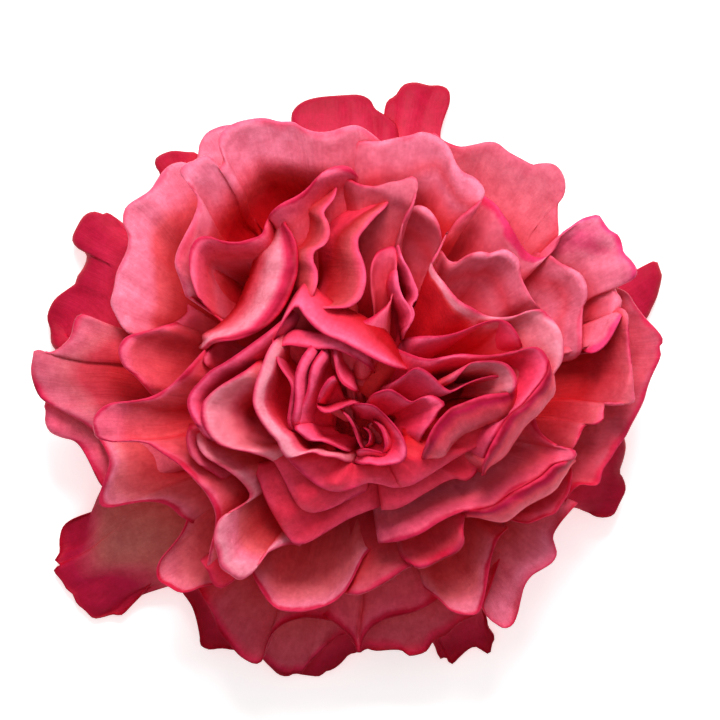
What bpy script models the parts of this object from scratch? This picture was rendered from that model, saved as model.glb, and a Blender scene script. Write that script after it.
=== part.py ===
"""A ruffled garden rose, picked off its stem and laid on a flat surface, heart up.

Metres, +Z up. The origin is on the surface, below the middle of the bloom.
+Y is the side of the bloom away from its heart.
"""
import math

import bmesh
import bpy
from mathutils import Matrix, Vector

MM = 0.001

# Driving sizes, in millimetres.
BLADE = 0.75                      # thickness of a petal
SEPAL_BLADE = 0.9
DOME_TOP = 44.0                   # height of the bloom's middle rims
DOME_DROP = 25.0                  # how much lower the guard petals' rims sit
AXIS_FOOT = Vector((2.8, -6.6, 16.5))
AXIS_HEAD = Vector((4.0, -9.0, 31.0))
CORE_CENTRE = Vector((2.8, -7.4, 21.0))
CORE_RADII = Vector((17.0, 17.0, 16.0))
CORE_BASE = 13.0                  # the core is flat below, over the hip
CORE_FLAT = 7.4                   # radius of that flat
CORE_FLARE = 0.45                 # slope of its underside beyond the flat
RIM_STEP = 6.0                    # length of one straight piece along a rim
LOWEST_RIM = 0.9                  # rims of the guard petals stop here, just off the surface
RIM_SLOPE = 0.30                  # how far a rim drops for each millimetre it reaches outwards
CUP = 1.7                         # 1 for petals that rise evenly, more for cupped ones
GAP = 0.3                         # air between the bloom and the hip under it
HIP_PROFILE = [(7.2, 12.7), (7.4, 11.6), (6.6, 8.0), (4.6, 5.0), (3.0, 3.8), (2.8, 0.0)]
SEPALS = 5
SEPAL_WIDTH = 7.5
SEPAL_RUN = [(4.0, 10.6), (11.0, 11.0), (19.0, 9.2), (27.0, 4.6), (31.0, 1.6)]

PINK = (0.86, 0.22, 0.30, 1.0)
GREEN = (0.10, 0.19, 0.05, 1.0)

# Each petal: its name, its layer (0 at the heart, 1 for the guard petals), how far its rim
# is lifted off the dome, the way it falls from its rim (None: straight to the heart), and
# its rim seen from above, as points in millimetres that a smooth curve runs through.
GUARD_PETALS = [
    ("guard_top_a", 1.0, -13, None, [
        (-6.8, 41.4), (-9.9, 47.0), (-8.1, 50.4), (-1.1, 51.7), (4.3, 50.9), (9.0, 46.4), (9.7, 43.2)]),
    ("guard_top_b", 1.0, -16, None, [
        (7.0, 47.5), (9.0, 51.8), (13.5, 54.5), (17.1, 53.6), (18.9, 51.5)]),
    ("guard_left_top", 1.0, -12, None, [
        (-25.6, 36.7), (-27.4, 41.2), (-31.5, 41.6), (-34.7, 40.1), (-33.8, 37.6), (-32.6, 33.8)]),
    ("guard_left", 1.0, -15, None, [
        (-40.6, 30.2), (-45.9, 30.6), (-49.1, 27.7), (-49.0, 24.1), (-47.2, 22.0),
        (-49.3, 17.5), (-54.0, 13.0), (-54.0, 9.0), (-51.8, 4.3)]),
    ("guard_low_left", 1.0, -17, None, [
        (-41.0, -21.6), (-46.1, -24.1), (-51.7, -27.0), (-52.2, -31.5), (-53.3, -34.7), (-49.9, -38.9),
        (-46.1, -43.4), (-40.9, -42.8), (-35.3, -36.7), (-30.6, -31.7)]),
    ("guard_low_a", 1.0, -14, None, [
        (-31.7, -36.0), (-28.1, -41.0), (-26.5, -48.2), (-22.7, -48.8), (-18.0, -49.0), (-16.6, -46.8)]),
    ("guard_low_b", 1.0, -17, None, [
        (-17.3, -46.8), (-14.8, -51.3), (-10.8, -54.0), (-5.0, -54.0), (-0.9, -51.5), (4.3, -46.8)]),
    ("guard_low_right", 1.0, -17, None, [
        (15.1, -43.2), (17.3, -50.9), (19.1, -51.8), (23.6, -48.6), (26.1, -49.9), (27.0, -46.8),
        (25.6, -43.6), (24.8, -40.7)]),
    ("guard_right", 1.0, -14, None, [
        (44.5, -24.0), (46.8, -25.0), (49.7, -22.5), (50.8, -20.0), (50.6, -13.0), (49.0, -8.1)]),
    ("guard_right_top", 1.0, -17, None, [
        (53.5, 20.4), (57.0, 21.3), (58.1, 19.4), (56.5, 14.9), (52.5, 8.5)]),
]

OUTER_PETALS = [
    ("low_mauve", 0.95, -8, None, [
        (0.7, -46.8), (3.6, -48.6), (9.0, -48.8), (13.0, -49.7), (18.2, -46.1), (23.8, -42.3),
        (25.9, -39.6)]),
    ("left_under", 0.95, -7, None, [
        (-51.5, -2.9), (-54.5, -6.5), (-53.6, -9.4), (-49.3, -11.0), (-45.2, -17.6), (-42.1, -20.2)]),
    ("top_right_broad", 0.92, -4, None, [
        (14.0, 43.2), (18.7, 42.7), (25.6, 43.0), (31.5, 40.0), (37.1, 39.1), (39.6, 34.6),
        (38.2, 29.9), (38.2, 25.9), (36.4, 23.8)]),
    ("top_left_small", 0.95, -6, None, [
        (-28.8, 36.4), (-26.5, 42.8), (-22.0, 46.1), (-17.3, 44.6)]),
    ("left_broad", 0.90, -4, None, [
        (-27.0, 36.7), (-31.1, 39.1), (-35.3, 34.4), (-40.0, 30.8), (-39.4, 25.0), (-41.9, 16.6),
        (-41.6, 11.7), (-38.9, 8.3), (-33.5, 9.4), (-28.8, 12.1)]),
    ("left_lobe", 0.92, -6, None, [
        (-38.9, 6.8), (-44.8, 9.2), (-48.2, 11.9), (-50.8, 6.7), (-56.3, 5.4), (-57.8, 1.6),
        (-55.1, -3.4), (-49.7, -6.5), (-43.2, -11.9)]),
    ("left_bowl", 0.88, -5, None, [
        (-45.0, -10.4), (-42.8, -14.6), (-44.5, -22.0), (-40.0, -22.5), (-34.4, -22.0), (-27.7, -25.9)]),
    ("low_left_flap", 0.88, -5, None, [
        (-27.9, -22.5), (-31.7, -30.2), (-34.2, -34.4), (-32.0, -37.3), (-26.3, -37.4), (-22.0, -36.0)]),
    ("low_wide", 0.92, -7, None, [
        (-27.0, -37.4), (-23.0, -45.4), (-16.7, -51.3), (-14.6, -48.2), (-11.0, -43.9), (-4.7, -43.2),
        (0.0, -43.9)]),
    ("low_tip", 0.90, -6, None, [
        (-5.0, -41.8), (-0.4, -45.2), (2.4, -49.0), (4.5, -44.8), (9.7, -42.5), (16.4, -39.6),
        (17.0, -37.8)]),
    ("low_right_shell", 0.88, -5, None, [
        (27.7, -32.4), (24.8, -40.7), (28.6, -44.8), (31.5, -39.6), (37.3, -32.8), (37.5, -28.5),
        (41.8, -22.3)]),
    ("right_drape", 0.90, -5, None, [
        (48.1, 18.9), (50.8, 15.7), (57.1, 7.7), (56.5, 3.4), (53.8, -3.6), (50.4, -10.3),
        (46.4, -16.2), (42.3, -18.9), (39.6, -22.0)]),
]

MIDDLE_PETALS = [
    ("top_cup", 0.72, 1, None, [
        (-28.8, 15.1), (-30.4, 22.7), (-26.8, 30.6), (-29.9, 37.6), (-25.7, 40.3), (-22.9, 38.3),
        (-22.9, 43.4), (-17.3, 46.8), (-9.5, 46.3), (-4.0, 44.4), (1.8, 45.7), (6.1, 43.0)]),
    ("top_fold", 0.74, 1, None, [
        (-1.1, 41.0), (5.8, 42.8), (13.5, 44.5), (18.7, 41.4), (20.9, 37.4), (24.8, 33.8),
        (20.3, 29.2)]),
    ("top_right_wave", 0.82, -2, None, [
        (23.8, 34.2), (28.6, 29.2), (32.6, 23.0), (36.0, 22.3), (39.1, 26.5), (45.5, 29.7),
        (49.0, 26.1), (52.4, 19.8), (47.7, 18.7)]),
    ("right_panel", 0.78, -3, None, [
        (34.2, 23.0), (40.9, 20.0), (43.4, 16.0), (42.5, 9.0), (40.9, 3.6)]),
    ("right_fold", 0.84, -4, None, [
        (46.6, 18.7), (49.7, 14.4), (47.7, 8.5), (42.1, 5.6)]),
    ("right_cup", 0.76, -3, None, [
        (49.0, 13.3), (51.1, 5.8), (51.8, -4.0), (47.0, -4.1), (45.2, -7.9), (42.5, -9.0), (39.6, -13.7)]),
    ("low_bowl", 0.74, -3, None, [
        (-17.3, -32.4), (-14.4, -39.2), (-7.7, -41.6), (-0.4, -38.2), (5.0, -29.9)]),
    ("low_right_fan", 0.78, -4, None, [
        (14.0, -37.4), (18.7, -41.4), (23.9, -41.8), (25.9, -32.8), (29.2, -26.6)]),
    ("right_shelf", 0.74, -2, None, [
        (18.4, -24.1), (26.8, -24.1), (32.8, -25.7), (38.9, -22.1), (40.3, -14.8)]),
    ("left_panel", 0.76, -2, None, [
        (-30.6, 10.4), (-39.2, 7.9), (-40.9, 4.7), (-34.9, -2.9)]),
    ("low_left_strip", 0.78, -3, None, [
        (-26.3, -32.4), (-23.0, -37.4), (-18.0, -34.2)]),
    ("low_mid_lobe", 0.66, -2, None, [
        (1.1, -40.3), (9.0, -35.5), (16.9, -32.4), (21.2, -28.6), (20.2, -23.0)]),
    ("left_tongue", 0.62, 0, None, [
        (-24.1, 6.7), (-29.9, 0.5), (-38.9, -3.8), (-45.4, -7.2), (-42.1, -11.0), (-33.5, -12.8),
        (-25.6, -19.6), (-23.4, -25.0), (-25.0, -33.5)]),
    ("right_tongue", 0.58, 0, None, [
        (38.5, 2.9), (34.2, -4.5), (35.1, -9.5), (41.2, -13.2), (34.9, -17.3), (24.1, -23.2),
        (16.2, -25.7), (5.8, -29.3)]),
    ("left_hood", 0.60, 3, None, [
        (-22.3, 10.4), (-27.5, 17.6), (-26.6, 25.4), (-19.8, 24.7), (-13.7, 27.7)]),
    ("left_leaf", 0.55, 4, (-9.0, -1.0, -12.0), [
        (-12.1, 31.3), (-8.5, 22.0), (-10.1, 14.8), (-15.1, 9.0), (-25.2, 5.4)]),
    ("left_small", 0.62, 1, None, [
        (-28.8, 15.5), (-22.1, 9.9), (-25.7, 3.6), (-22.9, 2.5)]),
    ("top_band", 0.58, 4, None, [
        (-15.1, 25.9), (-9.0, 32.8), (-1.4, 38.3), (2.0, 36.5)]),
    ("top_saddle", 0.55, 4, None, [
        (-1.8, 34.9), (5.8, 34.7), (12.2, 36.4), (10.1, 27.5), (10.1, 23.0)]),
    ("top_wall", 0.62, 1, None, [
        (9.7, 28.1), (12.8, 31.3), (17.1, 25.6)]),
    ("right_brow", 0.62, 2, None, [
        (17.1, 23.4), (19.8, 21.2), (28.6, 23.4), (31.3, 18.9), (34.9, 12.8)]),
    ("right_ridge", 0.48, 4, None, [
        (18.2, 26.6), (15.3, 21.2), (20.5, 14.0), (27.7, 11.2), (34.9, 12.6), (38.9, 5.4), (33.3, -4.0)]),
    ("low_left_thin", 0.56, 0, None, [
        (-28.1, -7.9), (-28.1, -13.0), (-21.6, -18.4)]),
    ("low_left_curl", 0.52, 0, None, [
        (-27.0, -8.6), (-23.8, -14.6), (-17.3, -20.9), (-22.5, -24.8), (-23.0, -31.3), (-19.1, -35.8),
        (-14.8, -31.5), (-8.3, -29.9)]),
]

INNER_PETALS = [
    ("left_sail", 0.42, 3, None, [
        (-8.8, 13.3), (-16.6, 6.7), (-26.1, -0.2), (-27.9, -6.1), (-23.8, -11.5)]),
    ("left_bowl_in", 0.40, 2, None, [
        (-15.1, 4.0), (-25.6, -4.1), (-22.7, -11.5), (-12.6, -14.8)]),
    ("low_skirt", 0.40, 1, None, [
        (-17.3, -15.1), (-12.6, -24.8), (-8.5, -29.2), (0.2, -25.0), (5.8, -22.7)]),
    ("low_skirt_in", 0.32, 3, None, [
        (-15.1, -13.5), (-9.0, -21.4), (-6.5, -25.6), (0.7, -22.7)]),
    ("crest_a", 0.40, 3, (-6.5, 0.5, -9.0), [
        (-1.4, 35.6), (-3.2, 28.1), (-5.8, 21.2), (-7.7, 13.1)]),
    ("crest_b", 0.36, 4, (-7.0, -0.5, -10.0), [
        (8.1, 32.8), (2.3, 25.0), (3.6, 17.5), (-1.4, 12.8), (-6.1, 11.9)]),
    ("crest_roll", 0.33, 3, None, [
        (4.5, 19.0), (8.6, 23.8), (8.6, 16.6), (2.5, 10.4)]),
    ("crest_c", 0.34, 4, (-3.0, -1.0, -9.0), [
        (9.4, 24.1), (12.8, 15.8), (12.0, 11.0), (10.1, 7.4)]),
    ("right_lip_a", 0.36, 3, None, [
        (10.1, 7.4), (19.1, 8.3), (27.7, 10.8), (31.9, 5.0)]),
    ("right_lip_b", 0.32, 3, None, [
        (8.6, 5.9), (15.3, 3.8), (25.9, 4.5), (34.4, 5.8), (34.6, -0.7), (27.9, -7.9), (24.5, -14.8)]),
    ("right_lip_c", 0.26, 4, None, [
        (19.1, -0.4), (24.5, 3.4), (30.4, 0.0), (28.6, -2.9)]),
    ("heart_long", 0.22, 5, None, [
        (-13.3, 6.1), (-8.8, 13.1), (1.8, 6.1), (11.0, 1.8), (18.5, -1.5), (29.5, -0.2)]),
    ("heart_left_pale", 0.22, 4, None, [
        (-11.2, 9.7), (-16.2, -3.0), (-10.1, -13.9), (-1.4, -13.3)]),
    ("heart_lip", 0.20, 4, None, [
        (-12.2, 7.6), (-2.5, 6.1), (4.7, 2.2)]),
    ("heart_right_a", 0.24, 5, (3.5, -3.5, -8.0), [
        (30.4, -0.7), (20.9, -4.0), (14.0, -11.9)]),
    ("heart_right_c", 0.30, 3, (3.0, -3.0, -7.0), [
        (31.3, -4.0), (21.6, -9.5), (13.5, -17.5)]),
    ("heart_right_d", 0.34, 1, (2.5, -3.0, -7.0), [
        (24.8, -14.8), (17.6, -18.2), (9.0, -23.0)]),
]

HEART_PETALS = [
    ("heart_a", 0.16, 4, None, [
        (-12.2, 5.0), (-8.0, -3.5), (-8.0, -8.6), (-1.1, -10.4)]),
    ("heart_c", 0.12, 4, None, [
        (-2.5, 0.7), (-5.8, -3.2), (2.2, -4.5), (9.9, -9.2), (8.3, -15.8)]),
    ("heart_d", 0.16, 4, None, [
        (0.7, -4.0), (9.0, -1.8), (18.0, -4.5), (16.2, -7.2)]),
    ("heart_e", 0.06, 2, None, [
        (0.0, -9.0), (5.0, -6.3), (7.9, -11.7), (4.7, -15.5), (0.9, -13.0)]),
]


def clear_scene():
    for old in list(bpy.data.objects):
        bpy.data.objects.remove(old, do_unlink=True)


def material(name, colour, roughness):
    made = bpy.data.materials.new(name)
    made.use_nodes = True
    shader = made.node_tree.nodes["Principled BSDF"]
    shader.inputs["Base Color"].default_value = colour
    shader.inputs["Roughness"].default_value = roughness
    shader.inputs["Metallic"].default_value = 0.0
    return made


def smooth_curve(points, steps):
    """Points on a Catmull-Rom curve through the given points, steps to each stretch."""
    last = len(points) - 1
    made = []
    for index in range(last):
        before = points[max(index - 1, 0)]
        start, end = points[index], points[index + 1]
        after = points[min(index + 2, last)]
        for step in range(steps):
            t = step / steps
            made.append(0.5 * (2 * start + (end - before) * t
                               + (2 * before - 5 * start + 4 * end - after) * t ** 2
                               + (3 * start - before - 3 * end + after) * t ** 3))
    made.append(points[last])
    return made


def evenly_spaced(curve, pieces):
    """The curve walked in equal strides: pieces + 1 points."""
    lengths = [0.0]
    for here, there in zip(curve, curve[1:]):
        lengths.append(lengths[-1] + (there - here).length)
    made = []
    index = 0
    for stride in range(pieces + 1):
        goal = lengths[-1] * stride / pieces
        while index < len(curve) - 2 and lengths[index + 1] < goal:
            index += 1
        span = lengths[index + 1] - lengths[index]
        share = (goal - lengths[index]) / span if span > 0 else 0.0
        made.append(curve[index].lerp(curve[index + 1], min(max(share, 0.0), 1.0)))
    return made


def unfolded(curve):
    """The curve without the ends that turn back on themselves as the core sees them."""
    centre = CORE_CENTRE.xy

    def turn(a, b):
        return (a - centre).cross(b - centre)

    way = 1.0 if turn(curve[0], curve[-1]) > 0.0 else -1.0
    while len(curve) > 8 and turn(curve[0], curve[2]) * way < 0.0:
        curve = curve[1:]
    while len(curve) > 8 and turn(curve[-3], curve[-1]) * way < 0.0:
        curve = curve[:-1]
    return curve


def rim_line(layer, lift, outline):
    """The petal's rim in space: the outline from above, at its height on the dome."""
    curve = unfolded(smooth_curve([Vector(point) for point in outline], 8))
    length = sum((b - a).length for a, b in zip(curve, curve[1:]))
    pieces = min(max(round(length / RIM_STEP), 4), 12)
    flat = evenly_spaced(curve, pieces)
    reach = sum(point.length for point in flat) / len(flat)
    height = DOME_TOP - DOME_DROP * layer ** 2 + lift
    rim = []
    for point in flat:
        z = height - RIM_SLOPE * (point.length - reach)
        rim.append(Vector((point.x, point.y, max(z, LOWEST_RIM))))
    return rim


def petal_rows(layer, fall, rim):
    """Rows of points from the rim down to the root inside the core."""
    root = AXIS_HEAD.lerp(AXIS_FOOT, min(layer + 0.25, 1.0))
    arch = 7.0 * max(layer - 0.8, 0.0) / 0.2
    if fall:
        valley = [point + Vector(fall) for point in rim]
        return [rim, valley, [root.lerp(point, 0.5) for point in valley],
                [root.lerp(point, 0.1) for point in valley]]
    rows = [rim]
    for share in (0.72, 0.42):
        row = []
        for point in rim:
            inner = root.lerp(point, share)
            rise = 1.0 - (1.0 - share) ** CUP
            inner.z = root.z + (point.z - root.z) * rise + arch * math.sin(math.pi * share)
            row.append(inner)
        rows.append(row)
    rows.append([root.lerp(point, 0.1) for point in rim])
    return rows


def petal(name, rows):
    """A thin solid blade through the rows, split into triangles alike on both faces."""
    across = len(rows[0]) - 1
    along = len(rows) - 1
    mesh = bpy.data.meshes.new(name)
    work = bmesh.new()
    bmesh.ops.create_grid(work, x_segments=across, y_segments=along, size=0.5)
    for vert in work.verts:
        column = round((vert.co.x + 0.5) * across)
        row = round((vert.co.y + 0.5) * along)
        vert.co = rows[row][column] * MM
    bmesh.ops.triangulate(work, faces=work.faces[:], quad_method="FIXED")
    work.to_mesh(mesh)
    work.free()
    blade = bpy.data.objects.new(name, mesh)
    bpy.context.scene.collection.objects.link(blade)
    solid = blade.modifiers.new("Thickness", "SOLIDIFY")
    solid.thickness = BLADE * MM
    solid.offset = 0.0
    return blade


def apply_modifiers(thing):
    """The object's evaluated mesh becomes its own mesh."""
    graph = bpy.context.evaluated_depsgraph_get()
    baked = bpy.data.meshes.new_from_object(thing.evaluated_get(graph))
    thing.modifiers.clear()
    thing.data = baked


def bmesh_clean(mesh):
    """Merges the points that the flat cut brought together and fills its face."""
    work = bmesh.new()
    work.from_mesh(mesh)
    limit = CORE_BASE * MM + 1e-7
    flat = [face for face in work.faces if all(vert.co.z < limit for vert in face.verts)]
    bmesh.ops.dissolve_faces(work, faces=flat)
    work.to_mesh(mesh)
    work.free()


def make_core():
    """The solid middle that every petal's root is sunk into."""
    bpy.ops.mesh.primitive_uv_sphere_add(segments=20, ring_count=10, radius=1.0)
    core = bpy.context.object
    core.name = "bloom"
    for vert in core.data.vertices:
        placed = Vector(a * b for a, b in zip(vert.co, CORE_RADII))
        floor = CORE_BASE + CORE_FLARE * max(placed.xy.length - CORE_FLAT, 0.0)
        placed.z = max(placed.z, floor - CORE_CENTRE.z)
        vert.co = (placed + CORE_CENTRE) * MM
    bmesh_clean(core.data)
    return core


def move_to(thing, collection):
    for holder in list(thing.users_collection):
        holder.objects.unlink(thing)
    collection.objects.link(thing)


def island(vert):
    """Every point that edges join to this one."""
    found = {vert}
    waiting = [vert]
    while waiting:
        for edge in waiting.pop().link_edges:
            for other in edge.verts:
                if other not in found:
                    found.add(other)
                    waiting.append(other)
    return found


def keep_largest(mesh):
    """Drops loose scraps and the walls of sealed hollows, which leaves one solid body."""
    work = bmesh.new()
    work.from_mesh(mesh)
    islands = []
    left = set(work.verts)
    while left:
        islands.append(island(left.pop()))
        left -= islands[-1]
    islands.sort(key=len)
    for scrap in islands[:-1]:
        bmesh.ops.delete(work, geom=list(scrap), context="VERTS")
    work.to_mesh(mesh)
    work.free()


def fuse(body, blades):
    """Joins a collection of blades to the body in one union, and removes them."""
    bpy.context.view_layer.update()
    for blade in list(blades.objects):
        apply_modifiers(blade)
    union = body.modifiers.new("Blades", "BOOLEAN")
    union.operation = "UNION"
    union.operand_type = "COLLECTION"
    union.collection = blades
    union.solver = "MANIFOLD"
    apply_modifiers(body)
    keep_largest(body.data)
    for blade in list(blades.objects):
        bpy.data.objects.remove(blade, do_unlink=True)
    bpy.data.collections.remove(blades)


def make_bloom(colour):
    """Every petal fused to the core as one body."""
    core = make_core()
    petals = bpy.data.collections.new("petals")
    bpy.context.scene.collection.children.link(petals)
    for group in (GUARD_PETALS, OUTER_PETALS, MIDDLE_PETALS, INNER_PETALS, HEART_PETALS):
        for name, layer, lift, fall, outline in group:
            rim = rim_line(layer, lift, outline)
            move_to(petal(name, petal_rows(layer, fall, rim)), petals)
    fuse(core, petals)
    core.data.materials.append(colour)
    return core


def make_hip():
    """The rounded green base of the flower with the cut end of its stem, turned."""
    mesh = bpy.data.meshes.new("calyx")
    corners = [(0.0, HIP_PROFILE[0][1])] + HIP_PROFILE + [(0.0, HIP_PROFILE[-1][1])]
    mesh.from_pydata([(r * MM, 0.0, z * MM) for r, z in corners],
                     [(i, i + 1) for i in range(len(corners) - 1)], [])
    hip = bpy.data.objects.new("calyx", mesh)
    bpy.context.scene.collection.objects.link(hip)
    turn = hip.modifiers.new("Turn", "SCREW")
    turn.steps = turn.render_steps = 20
    turn.use_merge_vertices = True
    turn.merge_threshold = 0.00001
    apply_modifiers(hip)
    hip.data.transform(Matrix.Translation((CORE_CENTRE.x * MM, CORE_CENTRE.y * MM, 0.0)))
    return hip


def sepal_rows(angle):
    """One sepal: a pointed leaf that arches out from the hip and hangs at its tip."""
    out = Vector((math.cos(angle), math.sin(angle), 0.0))
    side = Vector((-out.y, out.x, 0.0))
    foot = Vector((CORE_CENTRE.x, CORE_CENTRE.y, 0.0))
    rows = []
    for index, (reach, height) in enumerate(SEPAL_RUN):
        share = index / (len(SEPAL_RUN) - 1)
        half = 0.5 * SEPAL_WIDTH * (1.0 - share ** 1.5) + 0.5
        middle = foot + out * reach + Vector((0.0, 0.0, height))
        sag = Vector((0.0, 0.0, -0.18 * half))
        rows.append([middle - side * half + sag, middle, middle + side * half + sag])
    return rows


def make_calyx(colour):
    """The hip and its five sepals as one body."""
    hip = make_hip()
    sepals = bpy.data.collections.new("sepals")
    bpy.context.scene.collection.children.link(sepals)
    for index in range(SEPALS):
        angle = math.radians(20.0 + 360.0 * index / SEPALS)
        leaf = petal("sepal_%d" % index, sepal_rows(angle))
        leaf.modifiers["Thickness"].thickness = SEPAL_BLADE * MM
        move_to(leaf, sepals)
    fuse(hip, sepals)
    hip.data.materials.append(colour)
    return hip


def main():
    clear_scene()
    bloom = make_bloom(material("petal_pink", PINK, 0.55))
    calyx = make_calyx(material("calyx_green", GREEN, 0.6))
    rose = bpy.data.collections.new("rose")
    bpy.context.scene.collection.children.link(rose)
    move_to(bloom, rose)
    move_to(calyx, rose)


main()
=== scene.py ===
"""The finished look of a ruffled garden rose bloom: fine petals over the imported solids.

Seen from above, +X is the photograph's right and +Y its upper side. The petals' sizes are in
millimetres and are turned into metres once, where their points are made. A petal's layer runs
from 0 at the heart to 1 at the guard petals.
"""
import math

import bmesh
import bpy
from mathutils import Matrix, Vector, noise


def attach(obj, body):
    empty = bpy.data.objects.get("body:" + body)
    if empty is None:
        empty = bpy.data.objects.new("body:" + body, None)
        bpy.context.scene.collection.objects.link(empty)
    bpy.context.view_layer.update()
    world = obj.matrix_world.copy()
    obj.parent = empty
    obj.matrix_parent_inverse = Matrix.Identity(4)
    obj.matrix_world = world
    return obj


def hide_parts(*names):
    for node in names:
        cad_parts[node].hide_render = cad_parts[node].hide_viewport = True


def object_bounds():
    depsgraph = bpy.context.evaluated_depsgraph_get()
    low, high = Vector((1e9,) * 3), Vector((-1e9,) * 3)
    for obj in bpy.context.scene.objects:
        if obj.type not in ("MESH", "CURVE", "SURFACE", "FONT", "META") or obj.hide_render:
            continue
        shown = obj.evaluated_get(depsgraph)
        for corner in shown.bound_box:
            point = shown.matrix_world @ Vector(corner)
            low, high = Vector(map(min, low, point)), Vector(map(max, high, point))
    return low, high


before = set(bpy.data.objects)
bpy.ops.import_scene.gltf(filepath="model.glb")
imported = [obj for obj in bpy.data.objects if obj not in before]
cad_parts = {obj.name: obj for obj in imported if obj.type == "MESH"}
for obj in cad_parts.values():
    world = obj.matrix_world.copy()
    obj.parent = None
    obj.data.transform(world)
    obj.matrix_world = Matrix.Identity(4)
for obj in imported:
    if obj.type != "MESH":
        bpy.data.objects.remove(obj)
cad_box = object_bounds()

MM = 0.001

# Where the rims lie.
DOME_TOP = 44.0  # height of the middle rims
DOME_DROP = 25.0  # how much lower the guard petals' rims sit
RIM_SLOPE = 0.30  # how far a rim drops for each millimetre it reaches outwards
LOWEST_RIM = 0.9  # above the floor
RIM_STEP = 0.8  # spacing of a petal's columns along its rim
CURVE_STEPS = 8  # pieces of curve between two points of an outline
FEWEST_COLUMNS = 8
END_DIVES = ((0.0, 6.0), (0.6, 5.0), (0.85, 3.0), (1.0, 1.0))  # by layer
ROOF_DIVE = 2.0
END_SHARE = 0.14  # how much of a rim, at each end, dips under its neighbours

# Where the roots stand.
AXIS_FOOT = Vector((2.8, -6.6, 16.5))
AXIS_HEAD = Vector((4.0, -9.0, 38.0))
ROOT_SINK = 0.25  # how much nearer the axis' foot a root is than its layer says
INNER_LAYER = 0.45  # petals further in than this end short of the axis
INNER_REACH = 7.0
INNER_DEPTH = 7.0
INNER_GROWTH = 16.0  # what one whole layer adds to both
LONGEST_INNER = 0.65  # of the way to the axis

# The way from a rim to its root: rows at set distances from the rim, then the rest in shares.
EDGE_ROWS = (0.0, 0.25, 0.6, 1.1, 1.7, 2.4, 3.2, 4.2, 5.3, 6.5, 7.8, 9.2, 10.8, 12.6, 14.6)
ROOT_ROWS = (0.17, 0.34, 0.5, 0.67, 0.84, 1.0)
ROW_COUNT = len(EDGE_ROWS) + len(ROOT_ROWS)
EDGE_SHARE = 0.62  # the first kind covers at most this much of the way
FOOT_SHARE = 0.08  # the last row stops this short of the root
BOWL_DEPTHS = ((0.0, 3.0), (0.3, 4.5), (0.5, 6.0), (0.75, 6.5), (0.9, 5.5), (1.0, 1.0))  # by layer
BOWL_REACHES = ((0.0, 2.5), (0.5, 4.0), (0.75, 6.0), (1.0, 8.0))
DEEPEST_BOWL = 0.85  # of the height between rim and root
BOWL_POWER = 1.4  # how late the face falls to its root
SPAN_REACH = 7.0  # the bowl is evened out over this much of a petal's width
ARCH_LAYER = 0.9  # petals further out than this arch upwards
ARCH_RISE = 70.0  # for one whole layer
ROOF_STOP = 6.0  # how near the axis the tile-like petals come
ROOF_SHORTEST = 3.0
ROOF_POWER = 1.3
ROOF_ARCH = 0.66 * math.pi
FALL_TAPER = 0.25  # how much of a rim, at each end, narrows its fall
FALL_LEAST = 0.25  # the share of its width that the fall keeps there
FALL_POWER = 1.5
FALL_FOOT = 0.92  # the share of the way from the valley to the root

# What bends a petal's face.
GUARD_LAYER = 0.98  # petals further out than this widen under their neighbours
FLARE = 7.0  # how much wider, at each side
FLARE_START = 5.0
FLARE_REACH = 14.0
WARP = 1.6  # how far a petal's face strays from straight lines
WARP_SCALE = 0.075
WARP_REACH = 10.0
WARP_SEED = 1  # without one, noise_vector differs from run to run
ROLL = 0.9  # how far the very edge curls down
ROLL_REACH = 2.6
SHARP_LAYER = 0.3  # petals further in than this keep a sharp edge
SHARP_ROLL = 0.4 * ROLL
CUPPED_LAYER = 0.7  # petals further out than this turn up on the low side
CUPPED_SIDE = -18.0  # where the low side begins
CUPPED_FADE = 8.0
CUPPED_ROLL = -0.8
FLUTTER = 0.35  # height of the small waves near a rim
FLUTTER_SCALE = 0.33
FLUTTER_REACH = 9.0
FLUTTER_LAYERS = 40.0  # sets the waves of two layers apart
PLEAT = 1.3  # height of the soft folds that run from a rim to the root
PLEAT_SCALE = 0.22
PLEAT_RUN = 0.04  # how slowly a fold changes towards the root
PLEAT_START = 2.0
PLEAT_REACH = 22.0
PLEAT_LAYERS = 7.0  # this and the next set the folds of two petals apart
PLEAT_SHIFT = 0.3
ROOF_PLEAT = 1.6 * PLEAT
CRUMPLE = 0.28  # height of the fine crumples
CRUMPLE_SCALE = 0.75
CRUMPLE_REACH = 14.0

PETAL_SKIN = 0.30  # thickness of a petal
RIM_SKIN = 0.45  # of that, at the very edge
BOX_GAP = Vector((0.2, 0.2, 0.3))  # petals stay this far inside the solids' box
BOX_LOW = Vector(cad_box[0]) / MM + BOX_GAP
BOX_HIGH = Vector(cad_box[1]) / MM - BOX_GAP

# The colour follows the distance from the rim: the margin's colour is the petal's own, the deeper reds
# further in are painted shade.
TINT_START = 1.2  # nearer the rim than this, the colour is always the rim's
TINT_LEAST = 2.0  # further in, it is never taken from nearer the rim than this
SHIFT_START = 1.0  # from here inwards, the rim's notches are evened out of the colour
SHIFT_REACH = 5.0
TINT_SPAN = 30.0  # the distance at which the last colour stop, 1.0, lies

# The closed core: its middle seen from above, and its outline as radius and height.
HEART = Vector((2.8, -7.4))
CORE_PROFILE = ((0.0, 29.0), (4.0, 28.6), (8.0, 26.5), (11.0, 23.0), (12.5, 18.5), (11.0, 14.5),
                (6.0, 12.8), (0.0, 12.6))
CORE_TURNS = 48
CORE_BUMPS = 5.0
CORE_BULGE = 0.06
SAME_POINT = 0.001 * MM  # points this close are joined
TINY = 1e-9

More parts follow.
